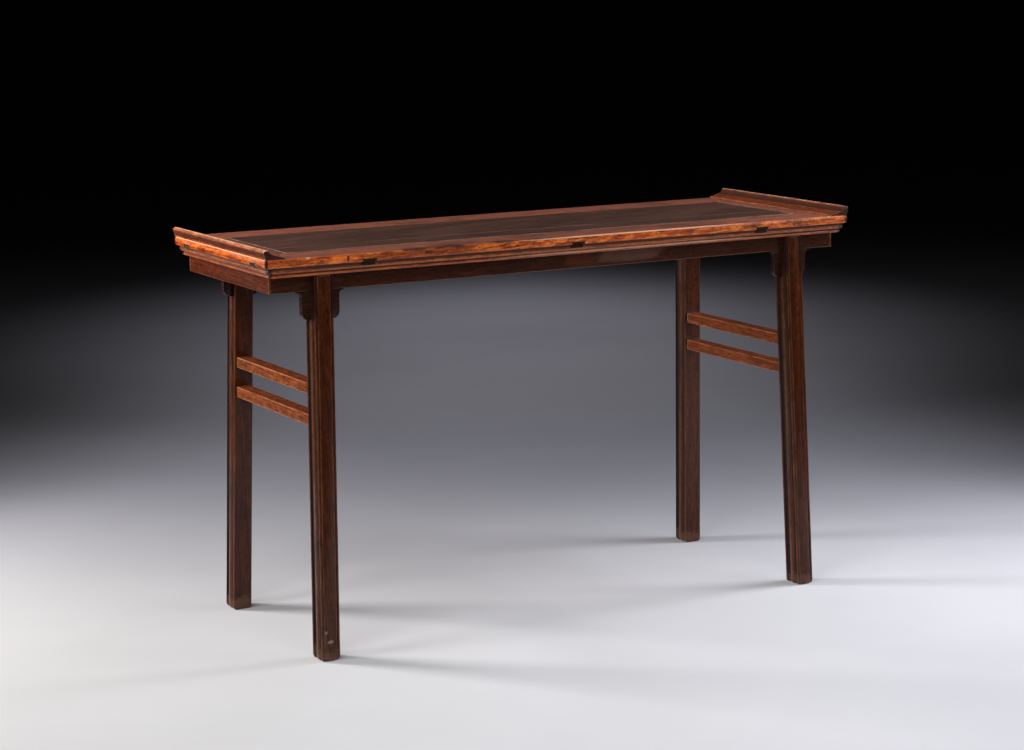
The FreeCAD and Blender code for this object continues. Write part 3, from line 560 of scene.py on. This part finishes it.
# The hollows take the grime-and-shade colour: real grime with painted shade where shade falls in
# them.
grimed_and_shaded = wiring.times(wiring.ramp(given["Hollow"], 0.02, 0.35), 0.92)
colour = wiring.mix(grimed_and_shaded, colour, given["Grime And Shade"])
roughness = wiring.plus(wiring.ramp(clouds, 0.3, 0.75, 0.17, 0.28), wiring.times(grimed_and_shaded, 0.6))
roughness = wiring.minus(roughness, wiring.times(rubbed_and_highlit, 0.06))
height = wiring.minus(given["Height"], wiring.times(scratch, 0.4))
height = wiring.plus(height, wiring.times(clouds, 0.3))
shine = wiring.minus(1.0, wiring.times(grimed_and_shaded, 0.85))
wiring.add("NodeGroupOutput", {
    "Colour": colour, "Height": height, "Roughness": roughness, "Shine": shine})

# A patch: a mask with a ragged edge round one place on the table, for a stain or a worn spot
patch, wiring, given = node_tree(
    "patch", "ShaderNodeTree",
    {"Vector": "Vector", "Centre": "Vector", "Half Size": "Vector", "Ragged": 0.5},
    {"Mask": "Float"})
away = wiring.vector("SUBTRACT", given["Vector"], given["Centre"])
away = wiring.vector("DIVIDE", away, given["Half Size"])
parts = wiring.add("ShaderNodeSeparateXYZ", {0: away}).outputs
parts = [wiring.math("POWER", wiring.math("ABSOLUTE", part), 4.0) for part in parts]
away = wiring.math("POWER", wiring.plus(wiring.plus(parts[0], parts[1]), parts[2]), 0.25)
torn = wiring.figure(given["Vector"], (28.0, 60.0, 90.0), 4.0, 0.6)
torn = wiring.times(wiring.minus(torn, 0.5), wiring.times(given["Ragged"], 4.0))
wiring.add("NodeGroupOutput", {0: wiring.ramp(wiring.plus(away, torn), 1.1, 0.6)})

ALONG = {"x": (0, 0, 0), "y": (0, 0, -math.pi / 2), "z": (0, math.pi / 2, 0)}
RELIEF, RELIEF_DEPTH, COAT, COAT_ROUGHNESS, UPPER_DULL = 0.25, 0.0006, 0.05, 0.16, 0.35


def wood_finish(name, board, pale, body, dark, rubbed_and_highlit, grime_and_shade, along="x", lean=(0, 0, 0),
                ring=0.006, flow=0.012, streaks=0.5, mottle=0.5, rub=0.6, cloud=0.4,
                scratches=0.3, patches=(), gloss=0.30, dull=0.0,
                end_grain=(0.02, 0.010, 0.007), upper=None, upper_share=0.0):
    """The finish of one board, whose grain runs along an axis. Colours are linear RGB."""
    finish = bpy.data.materials.new(name)
    finish.use_nodes = True
    wiring = Wiring(finish.node_tree)
    where = wiring.add("ShaderNodeTexCoord").outputs["Object"]
    normal = wiring.add("ShaderNodeNewGeometry").outputs["Normal"]
    turn = tuple(a + b for a, b in zip(ALONG[along], lean))
    laid = wiring.add("ShaderNodeMapping", {"Vector": where, "Rotation": turn}).outputs[0]
    wood = wiring.add("ShaderNodeGroup", {
        "Vector": laid, "Board": board, "Pale": (*pale, 1), "Body": (*body, 1), "Dark": (*dark, 1),
        "Ring Width": ring, "Flow": flow, "Streaks": streaks, "Mottle": mottle},
        node_tree=figured_wood).outputs
    # The ends of the fibres drink in polish and dirt, and are nearly black
    facing = wiring.add("ShaderNodeVectorRotate", {"Vector": normal, "Rotation": turn},
                        rotation_type="EULER_XYZ").outputs[0]
    facing = wiring.add("ShaderNodeSeparateXYZ", {0: facing}).outputs[0]
    endwise = wiring.ramp(wiring.math("ABSOLUTE", facing), 0.72, 0.93)
    colour = wiring.mix(wiring.times(endwise, 0.92), wood["Colour"], (*end_grain, 1))
    # Upward-facing faces turn towards the upper colour, darker than the wood and greyish: the grey
    # is painted sheen.
    if upper:
        rise = wiring.add("ShaderNodeSeparateXYZ", {0: normal}).outputs[2]
        dull_and_painted_sheen = wiring.times(wiring.ramp(rise, 0.75, 0.97), upper_share)
        colour = wiring.mix(dull_and_painted_sheen, colour, (*upper, 1))
    arris = wiring.add("ShaderNodeAttribute", attribute_name="arris").outputs["Fac"]
    arris = wiring.times(arris, wiring.minus(1.0, endwise))
    hollow = wiring.add("ShaderNodeAttribute", attribute_name="hollow").outputs["Fac"]
    old = wiring.add("ShaderNodeGroup", {
        "Vector": laid, "Board": board, "Colour": colour, "Height": wood["Height"], "Arris": arris,
        "Hollow": hollow, "Rubbed And Highlit": (*rubbed_and_highlit, 1), "Grime And Shade": (*grime_and_shade, 1), "Rub And Highlight Share": rub,
        "Cloud": cloud, "Scratches": scratches}, node_tree=old_finish).outputs
    colour = old["Colour"]
    for centre, size, ragged, share, tint in patches:
        mask = wiring.add("ShaderNodeGroup", {
            "Vector": where, "Centre": centre, "Half Size": size, "Ragged": ragged},
            node_tree=patch).outputs["Mask"]
        colour = wiring.mix(wiring.times(mask, share), colour, (*tint, 1))
    roughness = wiring.plus(wiring.plus(old["Roughness"], wood["Gloss"]), dull, clamp=True)
    if upper:
        roughness = wiring.plus(roughness, wiring.times(dull_and_painted_sheen, UPPER_DULL), clamp=True)
    relief = wiring.add("ShaderNodeBump", {
        "Height": old["Height"], "Strength": RELIEF, "Distance": RELIEF_DEPTH}).outputs[0]
    shader = finish.node_tree.nodes["Principled BSDF"]
    for socket, value in {"Base Color": colour, "Roughness": roughness, "Normal": relief,
                          "Coat Weight": wiring.times(old["Shine"], COAT)}.items():
        finish.node_tree.links.new(value, shader.inputs[socket])
    shader.inputs["Specular IOR Level"].default_value = gloss
    shader.inputs["Coat Roughness"].default_value = COAT_ROUGHNESS
    shader.inputs["IOR"].default_value = 1.5
    return finish


# Its upper colour, on upward faces, is darker and greyer than the wood: painted sheen.
FRAME_COLOURS = dict(
    pale=(0.92, 0.225, 0.037), body=(0.42, 0.068, 0.0165), dark=(0.060, 0.010, 0.005),
    rubbed_and_highlit=(0.78, 0.37, 0.17), grime_and_shade=(0.026, 0.009, 0.006), upper=(0.185, 0.083, 0.072),
    upper_share=0.70)


def mitre_reach(setback_line):
    """How far a long rail reaches at that distance from the table's middle line."""
    if setback_line >= FRAME_SIDE - SQUARE_MITRE:
        return FRAME_END - (FRAME_SIDE - setback_line)
    slope = (FRAME_END - SQUARE_MITRE - PANEL_END) / (FRAME_SIDE - SQUARE_MITRE - PANEL_SIDE)
    return PANEL_END + (setback_line - PANEL_SIDE) * slope


# The groove's head and foot under the top, and how deep it is. Wear has left the frame's inner
# arris a little under the panel.
LONG_RAIL_WIDTH, PANEL_GROOVE, WORN_INSIDE, WORN_WIDTH = 95, (4, 10.5, 11), 1.2, 22
RAIL_THICK = 40
BATTEN_PLACES = {"left": -480, "middle": 10, "right": 480}
BATTEN_TENON_HALF, BATTEN_TENON_FOOT, BATTEN_TENON_HEAD = 15.5, 814.5, 827.5
RAIL_TENON, RAIL_TENON_FOOT, RAIL_TENON_HEAD, JOINT_GAP = (166, 198), 817, 829, 0.25
RAIL_TENON_OUTLINE = [(600, RAIL_TENON_FOOT), (702.5, RAIL_TENON_FOOT), (702.5, 822), (708.8, 822),
                      (708.8, RAIL_TENON_HEAD), (600, RAIL_TENON_HEAD)]
PAST_THE_FACE = 5


def rail_outline(width):
    top, foot, deep = PANEL_GROOVE
    inner = [(width, RAIL_THICK, 0.8), (width, foot, 0), (width - deep, foot, 0),
             (width - deep, top, 0), (width, top, 0), (width, WORN_INSIDE, 0.7),
             (width - WORN_WIDTH, 0, 0)]
    return softened(MOULDED_EDGE + inner)


# Marks seen on the front rail and at the corners: centre, half size, raggedness, share and colour
STAIN, NEAR_BLACK, CHIPPED = (0.030, 0.020, 0.021), (0.012, 0.005, 0.004), (0.62, 0.40, 0.26)
BAND_GRIME_AND_SHADE, REDDENED, PAINTED_HIGHLIGHT = (0.105, 0.026, 0.012), (0.150, 0.030, 0.011), (0.95, 0.56, 0.36)
CORNER_MARKS = {(end, face): [
    ((end * 0.7085, face * 0.2485, 0.831), (0.0048, 0.0048, 0.016), 0.1, 0.92, NEAR_BLACK),
    ((end * 0.6995, face * 0.2395, 0.808), (0.0100, 0.0100, 0.016), 0.1, 0.85, NEAR_BLACK)]
    for end in (-1, 1) for face in (-1, 1)}
# On each rail the first mark darkens the moulded bands under the fascia: grime and painted shade.
RAIL_MARKS = {
    -1: [((0, -0.240, 0.8085), (0.9, 0.03, 0.0145), 0.03, 0.55, BAND_GRIME_AND_SHADE),
         ((-0.635, -0.249, 0.8300), (0.070, 0.010, 0.020), 0.35, 0.25, REDDENED),
         ((-0.360, -0.249, 0.8300), (0.120, 0.010, 0.014), 0.60, 0.45, REDDENED),
         ((-0.378, -0.244, 0.8395), (0.036, 0.011, 0.003), 0.60, 0.80, STAIN),
         ((-0.300, -0.244, 0.8395), (0.036, 0.011, 0.003), 0.60, 0.80, STAIN),
         ((-0.165, -0.238, 0.8395), (0.034, 0.018, 0.003), 0.60, 0.80, STAIN),
         ((-0.065, -0.243, 0.8395), (0.062, 0.012, 0.003), 0.60, 0.80, STAIN),
         ((-0.617, -0.249, 0.8395), (0.006, 0.004, 0.004), 0.20, 0.90, CHIPPED),
         ((-0.5285, -0.249, 0.830), (0.0025, 0.004, 0.007), 0.2, 0.90, STAIN),
         ((-0.345, -0.249, 0.8320), (0.010, 0.004, 0.003), 0.60, 0.80, STAIN),
         # The last two marks are painted highlights along the top arris and the lowest bead.
         ((0.150, -0.2490, 0.8390), (0.300, 0.004, 0.0019), 0.20, 0.75, PAINTED_HIGHLIGHT),
         ((0.150, -0.2370, 0.8055), (0.330, 0.004, 0.0018), 0.12, 0.55, PAINTED_HIGHLIGHT)],
    1: [((0, 0.240, 0.8085), (0.9, 0.03, 0.0145), 0.03, 0.55, BAND_GRIME_AND_SHADE)],
}
for seed, (side, face) in enumerate((("front", -1), ("rear", 1))):
    rail = piece_of(shaped(
        run(side + "_rail_moulded", rail_outline(LONG_RAIL_WIDTH), 2 * FRAME_END),
        lambda along, across, down: (along / FRAME_END * mitre_reach(FRAME_SIDE - across),
                                     face * (FRAME_SIDE - across), TOP - down)))
    through = (face * (PANEL_SIDE - PAST_THE_FACE), face * (FRAME_SIDE + PAST_THE_FACE))
    half_mortise = BATTEN_TENON_HALF + JOINT_GAP
    cut_or_joined(rail, "DIFFERENCE", [
        box((place - half_mortise, place + half_mortise), through,
            (BATTEN_TENON_FOOT - JOINT_GAP, BATTEN_TENON_HEAD + JOINT_GAP))
        for place in BATTEN_PLACES.values()])
    cut_or_joined(rail, "UNION", [
        ([(end * x, z) for x, z in RAIL_TENON_OUTLINE], sorted(face * edge for edge in RAIL_TENON))
        for end in (-1, 1)])
    finish = wood_finish(side + "_rail_wood", 1.3 + 2.1 * seed, **FRAME_COLOURS, ring=0.0055,
                         mottle=0.9, streaks=0.5, cloud=0.5, rub=0.42,
                         patches=RAIL_MARKS[face] + CORNER_MARKS[-1, face] + CORNER_MARKS[1, face])
    finished(rail, side + "_long_rail", "frame_wood", finish, 4 + seed, waver=0.0004,
             rub=0.0004, nick=0.0016, nick_length=0.010, nicks=0.5)


# The two end rails of the frame
# They close the frame at its ends with the same moulding, mitred at the corners. The long rails'
# tenons run right through them, and show as dark end grain in their outer faces.

END_RAIL_WIDTH = 82
# The end rails are the same wood as the long ones but take a darker copy of its colours: painted
# shade that tones down the strong light on the ends.
END_RAIL_COLOURS = dict(FRAME_COLOURS, pale=(0.78, 0.170, 0.019), body=(0.33, 0.048, 0.009))


def end_reach(end_line):
    """How far an end rail reaches at that distance from the middle of the table's length."""
    if end_line >= FRAME_END - SQUARE_MITRE:
        return FRAME_SIDE - (FRAME_END - end_line)
    slope = (FRAME_SIDE - SQUARE_MITRE - PANEL_SIDE) / (FRAME_END - SQUARE_MITRE - PANEL_END)
    return PANEL_SIDE + (end_line - PANEL_END) * slope


for seed, (side, end) in enumerate((("left", -1), ("right", 1))):
    rail = piece_of(shaped(
        run(side + "_rail_moulded", rail_outline(END_RAIL_WIDTH), 2 * FRAME_SIDE),
        lambda along, across, down: (end * (FRAME_END - across),
                                     along / FRAME_SIDE * end_reach(FRAME_END - across),
                                     TOP - down)))
    through = (end * (PANEL_END - PAST_THE_FACE), end * (FRAME_END + PAST_THE_FACE))
    near, far = RAIL_TENON[0] - JOINT_GAP, RAIL_TENON[1] + JOINT_GAP
    cut_or_joined(rail, "DIFFERENCE", [
        box(through, (face * near, face * far),
            (RAIL_TENON_FOOT - JOINT_GAP, RAIL_TENON_HEAD + JOINT_GAP)) for face in (-1, 1)])
    # The first mark darkens the moulded bands under the fascia: grime and painted shade.
    marks = [((end * 0.700, 0, 0.8085), (0.03, 0.5, 0.0145), 0.03, 0.5, BAND_GRIME_AND_SHADE),
             ((end * 0.7095, 0, 0.8392), (0.004, 0.31, 0.0014), 0.16, 0.60, PAINTED_HIGHLIGHT)]
    # The second mark above is a painted highlight along the top outer arris.
    finish = wood_finish(side + "_end_rail_wood", 5.7 + 3.3 * seed, **END_RAIL_COLOURS, along="y",
                         ring=0.0055, mottle=0.8, streaks=0.6, cloud=0.35, rub=0.42,
                         patches=marks + CORNER_MARKS[end, -1] + CORNER_MARKS[end, 1])
    finished(rail, side + "_end_rail", "frame_wood", finish, 14 + seed, waver=0.0004,
             rub=0.0004, nick=0.0015, nick_length=0.010, nicks=0.45)


# The panel
# Two boards lie flush in the frame on tongues, the front one much the narrower. Their top is
# darker and duller than the frame, with long straight grain.

PANEL_THICK, PANEL_TONGUE, SEAM = 14, 10, -75
# The panel's arrises are rubbed pale, a colour that also paints the highlight along its edges.
PANEL_COLOURS = dict(
    pale=(0.142, 0.066, 0.049), body=(0.084, 0.041, 0.031), dark=(0.030, 0.015, 0.011),
    rubbed_and_highlit=(0.66, 0.42, 0.28), grime_and_shade=(0.014, 0.008, 0.006), dull=0.28, gloss=0.16)
for seed, (side, face) in enumerate((("front", -1), ("rear", 1))):
    outer, tongue = face * PANEL_SIDE, face * (PANEL_SIDE + PANEL_TONGUE)
    top, foot, _ = PANEL_GROOVE
    outline = softened([
        (outer, 0, 0.5), (outer, top, 0), (tongue, top, 0), (tongue, foot, 0), (outer, foot, 0),
        (outer, PANEL_THICK, 0.5), (SEAM, PANEL_THICK, 0.5), (SEAM, 0, 0.45)], longest=12)
    panel = piece_of(shaped(
        run(side + "_panel_planed", outline, 2 * PANEL_END, 6),
        lambda along, across, down: (along, across, TOP - down)))
    finish = wood_finish(side + "_panel_wood", 9.4 + 4.2 * seed, **PANEL_COLOURS, ring=0.009,
                         flow=0.006, mottle=0.35, streaks=0.6, rub=0.8, cloud=0.5, scratches=0.6)
    finished(panel, side + "_panel_board", "panel_wood", finish, 24 + seed, waver=0.0003,
             waver_length=0.16, rub=0.0002, nick=0.0006, nicks=0.2)


# The battens
# Three bars dovetailed across the panel's underside keep it flat. Only their through tenons
# show, in the faces of the long rails. The CAD shape is right and stays.

for seed, name in enumerate(BATTEN_PLACES):
    finish = wood_finish(name + "_batten_wood", 31.0 + seed, along="y", ring=0.007,
                         pale=(0.16, 0.07, 0.035), body=(0.09, 0.036, 0.018),
                         dark=(0.03, 0.012, 0.008), rubbed_and_highlit=(0.25, 0.12, 0.06),
                         grime_and_shade=(0.02, 0.010, 0.008))
    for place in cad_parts[name + "_batten"].material_slots:
        place.material = finish


# The everted flanges
# One moulding stands along each end of the top and leans out over it: a rounded rim with a quirk
# under it outside, and a hollow that sweeps down to a thin toe inside. Hidden tenons hold it.

FLANGE = [
    (1.5, 0, 0.3),
    (-3.03, -13.5, 0.5),
    (-1.43, -13.5, 0.3),
    (-1.43, -14.9, 0.3),
    (-3.5, -14.9, 0.5),
    (8, -19.4, 0.8, 3.0),
    (21, -8.5, 0, -2.6),
    (43, -2.2, 0.5, -0.8),
    (43, 0, 0.2),
]
# Its upper colour, on the rim's upward faces, is painted sheen as on the frame.
FLANGE_COLOURS = dict(
    pale=(0.60, 0.140, 0.040), body=(0.29, 0.056, 0.017), dark=(0.035, 0.008, 0.004),
    rubbed_and_highlit=(0.80, 0.42, 0.22), grime_and_shade=(0.045, 0.012, 0.006), upper=(0.120, 0.030, 0.014),
    upper_share=0.6)
# A dark band is painted outside under the rim: painted shade.
PAINTED_SHADE_UNDER_RIM = (0.045, 0.012, 0.007)
END_ROUNDING, CAP_INSET = 0.45, 0.5


def rounded_ends(mesh, radius):
    """Rounds the arrises round both end faces of a run, before it is scaled to metres."""
    work = bmesh.new()
    work.from_mesh(mesh)
    caps = [face for face in work.faces if len(face.verts) > 4]
    rims = {edge for face in caps for edge in face.edges}
    bmesh.ops.bevel(work, geom=list(rims), offset=radius, segments=3, profile=0.5, affect="EDGES",
                    clamp_overlap=False)
    caps = [face for face in work.faces if len(face.verts) > 4]
    bmesh.ops.inset_individual(work, faces=caps, thickness=CAP_INSET)
    work.to_mesh(mesh)
    work.free()
    return mesh


for seed, (side, end) in enumerate((("left", -1), ("right", 1))):
    planed = run(side + "_flange_moulded", softened(FLANGE), 2 * FRAME_SIDE)
    flange = piece_of(shaped(
        rounded_ends(planed, END_ROUNDING),
        lambda along, across, down: (end * (FRAME_END - across), along, TOP - down)))
    # The first mark is painted shade outside under the rim.
    marks = [((end * 0.7115, 0, 0.8485), (0.006, 0.4, 0.0066), 0.15, 0.85, PAINTED_SHADE_UNDER_RIM),
             ((end * 0.7070, 0, 0.8602), (0.004, 0.4, 0.0016), 0.70, 0.55, PAINTED_HIGHLIGHT)]
    # The second mark above is a painted highlight along the rim's crest.
    finish = wood_finish(side + "_flange_wood", 41.0 + 2.6 * seed, **FLANGE_COLOURS, along="y",
                         ring=0.005, mottle=0.8, streaks=0.7, rub=0.40, patches=marks)
    finished(flange, side + "_everted_flange", "flange_wood", finish, 34 + seed, waver=0.0003,
             rub=0.0004, nick=0.0012, nick_length=0.012, nicks=0.4)


# The aprons
# Plain boards under the frame, tongued into it and mitred to each other at the corners. The long
# ones pass through the forks of the legs; all are darker than the frame.

APRON_LINE, APRON_THICK, APRON_END, APRON_FOOT, LEG_TOP = 209.5, 14, 690, 766, 800
APRON_DEEP, APRON_OUTER = LEG_TOP - APRON_FOOT, APRON_LINE + APRON_THICK / 2
APRON_SECTION = softened([(0, 0, 0.3), (0, APRON_DEEP, 1.3), (APRON_THICK, APRON_DEEP, 1.0),
                          (APRON_THICK, 0, 0.3)], longest=8)
APRON_COLOURS = dict(
    pale=(0.070, 0.022, 0.010), body=(0.036, 0.011, 0.006), dark=(0.013, 0.005, 0.004),
    rubbed_and_highlit=(0.26, 0.105, 0.050), grime_and_shade=(0.010, 0.006, 0.005), gloss=0.2)
END_APRON_COLOURS = dict(
    pale=(0.125, 0.024, 0.006), body=(0.066, 0.011, 0.004), dark=(0.018, 0.005, 0.003),
    rubbed_and_highlit=(0.34, 0.14, 0.060), grime_and_shade=(0.014, 0.007, 0.005), gloss=0.2)
WORN_PATCHES = [
    ((0.158, -0.2165, 0.7865), (0.088, 0.010, 0.0160), 0.20, 0.50, (0.150, 0.076, 0.058)),
    ((0.035, -0.2165, 0.7850), (0.042, 0.010, 0.0180), 0.25, 0.40, (0.120, 0.040, 0.020))]
for seed, (side, face) in enumerate((("front", -1), ("rear", 1))):
    apron = piece_of(shaped(
        run(side + "_apron_planed", APRON_SECTION, 2 * APRON_END, 5),
        lambda along, across, down: (along / APRON_END * (APRON_END - across),
                                     face * (APRON_OUTER - across), LEG_TOP - down)))
    finish = wood_finish(side + "_apron_wood", 51.0 + 1.7 * seed, **APRON_COLOURS, ring=0.006,
                         mottle=0.4, streaks=0.5, rub=0.5, cloud=0.5,
                         patches=WORN_PATCHES if face < 0 else ())
    finished(apron, side + "_apron", "apron_wood", finish, 44 + seed, waver=0.0006, rub=0.0004,
             nick=0.0014, nicks=0.35)
for seed, (side, end) in enumerate((("left", -1), ("right", 1))):
    apron = piece_of(shaped(
        run(side + "_end_apron_planed", APRON_SECTION, 2 * APRON_OUTER, 5),
        lambda along, across, down: (end * (APRON_END - across),
                                     along / APRON_OUTER * (APRON_OUTER - across), LEG_TOP - down)))
    finish = wood_finish(side + "_end_apron_wood", 57.0 + 1.7 * seed, **END_APRON_COLOURS,
                         along="y", ring=0.006, mottle=0.5, streaks=0.5, rub=0.4, cloud=0.4)
    finished(apron, side + "_end_apron", "apron_wood", finish, 54 + seed, waver=0.0005, rub=0.0004,
             nick=0.0014, nicks=0.35)


# The spandrels
# One small board with a rounded ear on each side of the leg, passed through the fork of the leg
# under the apron and tongued up into it.

SPANDREL_FOOT, EAR_HALF, EAR_ROUND, EAR_FLARE, EAR_TIP, EAR_ARRIS = 706, 42, 15, 10, 2.4, 0.3
LEG_AXIS, SPLAY_SIDE, SPLAY_FRONT = 575.5, 19 / 800, 30 / 800
BULGE = 1 - math.sqrt(0.5)
half_height = APRON_FOOT - SPANDREL_FOOT
SPANDREL = [
    (EAR_HALF - EAR_ROUND, half_height, 0),
    (EAR_HALF, half_height - EAR_ROUND, 0, EAR_ROUND * BULGE),
    (EAR_HALF, EAR_FLARE, 0),
    (EAR_HALF + EAR_FLARE, EAR_TIP, 0, -EAR_FLARE * BULGE),
    (EAR_HALF + EAR_FLARE, 0, 0.2),
    (-EAR_HALF - EAR_FLARE, 0, 0.2),
    (-EAR_HALF - EAR_FLARE, EAR_TIP, 0),
    (-EAR_HALF, EAR_FLARE, 0, -EAR_FLARE * BULGE),
    (-EAR_HALF, half_height - EAR_ROUND, 0),
    (-EAR_HALF + EAR_ROUND, half_height, 0, EAR_ROUND * BULGE),
]
SPANDREL_COLOURS = dict(
    pale=(0.050, 0.016, 0.008), body=(0.025, 0.008, 0.0048), dark=(0.010, 0.004, 0.003),
    rubbed_and_highlit=(0.22, 0.085, 0.042), grime_and_shade=(0.016, 0.0065, 0.0045), gloss=0.2)
CORNERS = [(f"{side}_{flank}", face, end) for side, face in (("front", -1), ("rear", 1))
           for flank, end in (("left", -1), ("right", 1))]
for seed, (corner, face, end) in enumerate(CORNERS):
    middle = end * (LEG_AXIS + SPLAY_SIDE * (LEG_TOP - (APRON_FOOT + SPANDREL_FOOT) / 2))
    sawn = run(corner + "_spandrel_sawn", softened(SPANDREL, 6), APRON_THICK, 4)
    spandrel = piece_of(shaped(
        rounded_ends(sawn, EAR_ARRIS),
        lambda along, across, down: (middle + across, face * APRON_LINE + along,
                                     APRON_FOOT - down)))
    finish = wood_finish(corner + "_spandrel_wood", 61.0 + 1.3 * seed, **SPANDREL_COLOURS,
                         ring=0.006, mottle=0.4, streaks=0.5, rub=0.3, cloud=0.5,
                         end_grain=(0.030, 0.011, 0.007))
    finished(spandrel, corner + "_spandrel", "apron_wood", finish, 64 + seed, waver=0.0004,
             rub=0.0003, nick=0.0010, nicks=0.3)


# The legs
# Four posts that splay both ways. The front has a low crown between two beads, each side a fuller
# crown between quirks and beads, the back is plain. The head is forked round apron and spandrel.

LEG_HALF, LEG_DEPTH, LEG_FACE, FOOT_ROUND = 22, 49, 234, 8
LEG_SIDE = [
    (21, 49, 0.8),
    (21, 43.8, 0.5, 0.8),
    (18.6, 43.2, 0.3),
    (18.6, 34, 0.4, -1.2),
    (18.6, 15.5, 0.4, 3.4),
    (18.8, 5.8, 0.4, -1.4),
    (20.9, 5.4, 0.3),
    (20.9, 3.2, 1.3),
    (16.2, 3.2, 0.3),
    (15.4, 4.8, 0.2),
    (14.8, 3.0, 2.6),
]
# The other side mirrors the first, so an arc there belongs to the point at its other end
LEG_OUTLINE = LEG_SIDE + [(-14.8, 3.0, 2.6, 2.6)]
for (across, down, rounding, *_), (_, _, _, *arc) in zip(LEG_SIDE[-2::-1], LEG_SIDE[:0:-1]):
    LEG_OUTLINE.append((-across, down, rounding, *arc))
LEG_COLOURS = dict(
    pale=(0.106, 0.0235, 0.0058), body=(0.042, 0.0098, 0.0035), dark=(0.011, 0.0040, 0.0023),
    rubbed_and_highlit=(0.30, 0.115, 0.048), grime_and_shade=(0.006, 0.0034, 0.003), gloss=0.22)
FORK_MIDDLE, FORK_HALF, FORK_HEAD, FOOT_STATIONS = 580, 60, 820, 24
LEG_RUN = LEG_TOP + FOOT_STATIONS / 2
# The feet are bleached and dusty; one has a dark knot, another a few pale scuffs
DUSTY, SCUFFED = (0.125, 0.066, 0.040), (0.50, 0.42, 0.38)
LEG_MARKS = {
    "front_left": [((-0.604, -0.260, 0.060), (0.004, 0.01, 0.006), 1.0, 0.35, SCUFFED),
                   ((-0.596, -0.262, 0.043), (0.010, 0.01, 0.004), 1.0, 0.35, SCUFFED)],
    "front_right": [],
    "rear_left": [((-0.605, 0.20, 0.038), (0.009, 0.02, 0.011), 0.3, 0.85, NEAR_BLACK)],
    "rear_right": [],
}


def leg_place(end, face):
    """Where a leg's points go. Its stations crowd together at the foot, which is rounded."""
    def place(along, across, down):
        step = along + LEG_RUN / 2
        height = step - FOOT_STATIONS / 2
        if step < FOOT_STATIONS:
            height = step ** 2 / (2 * FOOT_STATIONS)
        inset = 0
        if height < FOOT_ROUND:
            inset = FOOT_ROUND - math.sqrt(FOOT_ROUND ** 2 - (FOOT_ROUND - height) ** 2)
        x = end * (LEG_AXIS + SPLAY_SIDE * (LEG_TOP - height)) + across * (1 - inset / LEG_HALF)
        outer = LEG_FACE + SPLAY_FRONT * (LEG_TOP - height)
        return x, face * (outer - inset - down * (1 - inset / LEG_DEPTH)), height
    return place


for seed, (corner, face, end) in enumerate(CORNERS):
    moulded = run(corner + "_leg_moulded", softened(LEG_OUTLINE, 6, 1.3), LEG_RUN)
    leg = piece_of(shaped(moulded, leg_place(end, face)))
    fork = (face * (APRON_LINE - APRON_THICK / 2), face * (APRON_LINE + APRON_THICK / 2))
    cut_or_joined(leg, "DIFFERENCE", [box(
        (end * FORK_MIDDLE - FORK_HALF, end * FORK_MIDDLE + FORK_HALF), fork,
        (SPANDREL_FOOT, FORK_HEAD))])
    dusty_foot = [((end * 0.594, face * 0.235, 0.0), (0.06, 0.06, 0.028), 0.5, 0.5, DUSTY)]
    # Painted shade on both flanks of the leg's head, under the apron and spandrel.
    painted_head_shade = [((end * 0.5765 + flank, face * 0.24, 0.758), (0.0085, 0.04, 0.054), 0.1, 0.8,
                   NEAR_BLACK) for flank in (-0.021, 0.021)]
    finish = wood_finish(corner + "_leg_wood", 71.0 + 2.3 * seed, **LEG_COLOURS, along="z",
                         lean=(0, -math.atan(end * SPLAY_SIDE), 0), ring=0.0055, mottle=0.45,
                         streaks=0.6, rub=0.40, cloud=0.45,
                         patches=dusty_foot + painted_head_shade + LEG_MARKS[corner])
    finished(leg, corner + "_leg", "leg_wood", finish, 74 + seed, waver=0.0004, rub=0.0003,
             nick=0.0012, nick_length=0.014, nicks=0.4)


# The stretchers
# Two plain bars between the legs at each end, one over the other, with softened arrises. They are
# shouldered to the slope of the legs' backs and blind-tenoned into them.

STRETCHER_HALF, STRETCHER_DEEP, STRETCHER_REACH, STRETCHER_RUN = 17, 23.5, 185, 400
STRETCHER_SECTION = softened([
    (-STRETCHER_HALF, 0, 2.0), (STRETCHER_HALF, 0, 2.0), (STRETCHER_HALF, STRETCHER_DEEP, 1.6),
    (-STRETCHER_HALF, STRETCHER_DEEP, 1.6)], 7, 1.5)
STRETCHER_COLOURS = dict(
    pale=(0.30, 0.077, 0.024), body=(0.148, 0.036, 0.013), dark=(0.037, 0.010, 0.006),
    rubbed_and_highlit=(0.58, 0.27, 0.13), grime_and_shade=(0.022, 0.010, 0.007))
STRETCHERS = [(f"{side}_{level}_stretcher", end, middle)
              for side, end in (("left", -1), ("right", 1))
              for level, middle in (("upper", 561), ("lower", 495.5))]
for seed, (name, end, middle) in enumerate(STRETCHERS):
    centre = end * (LEG_AXIS + SPLAY_SIDE * (LEG_TOP - middle))

    def place(along, across, down):
        height = middle + STRETCHER_DEEP / 2 - down
        reach = STRETCHER_REACH + SPLAY_FRONT * (LEG_TOP - height)
        return centre + across, along / (STRETCHER_RUN / 2) * reach, height

    stretcher = piece_of(shaped(run(name + "_planed", STRETCHER_SECTION, STRETCHER_RUN, 5), place))
    finish = wood_finish(name + "_wood", 91.0 + 2.9 * seed, **STRETCHER_COLOURS, along="y",
                         ring=0.005, mottle=0.6, streaks=0.5, rub=0.45, cloud=0.3)
    finished(stretcher, name, "stretcher_wood", finish, 84 + seed, waver=0.0005,
             rub=0.0004, nick=0.0012, nicks=0.35)
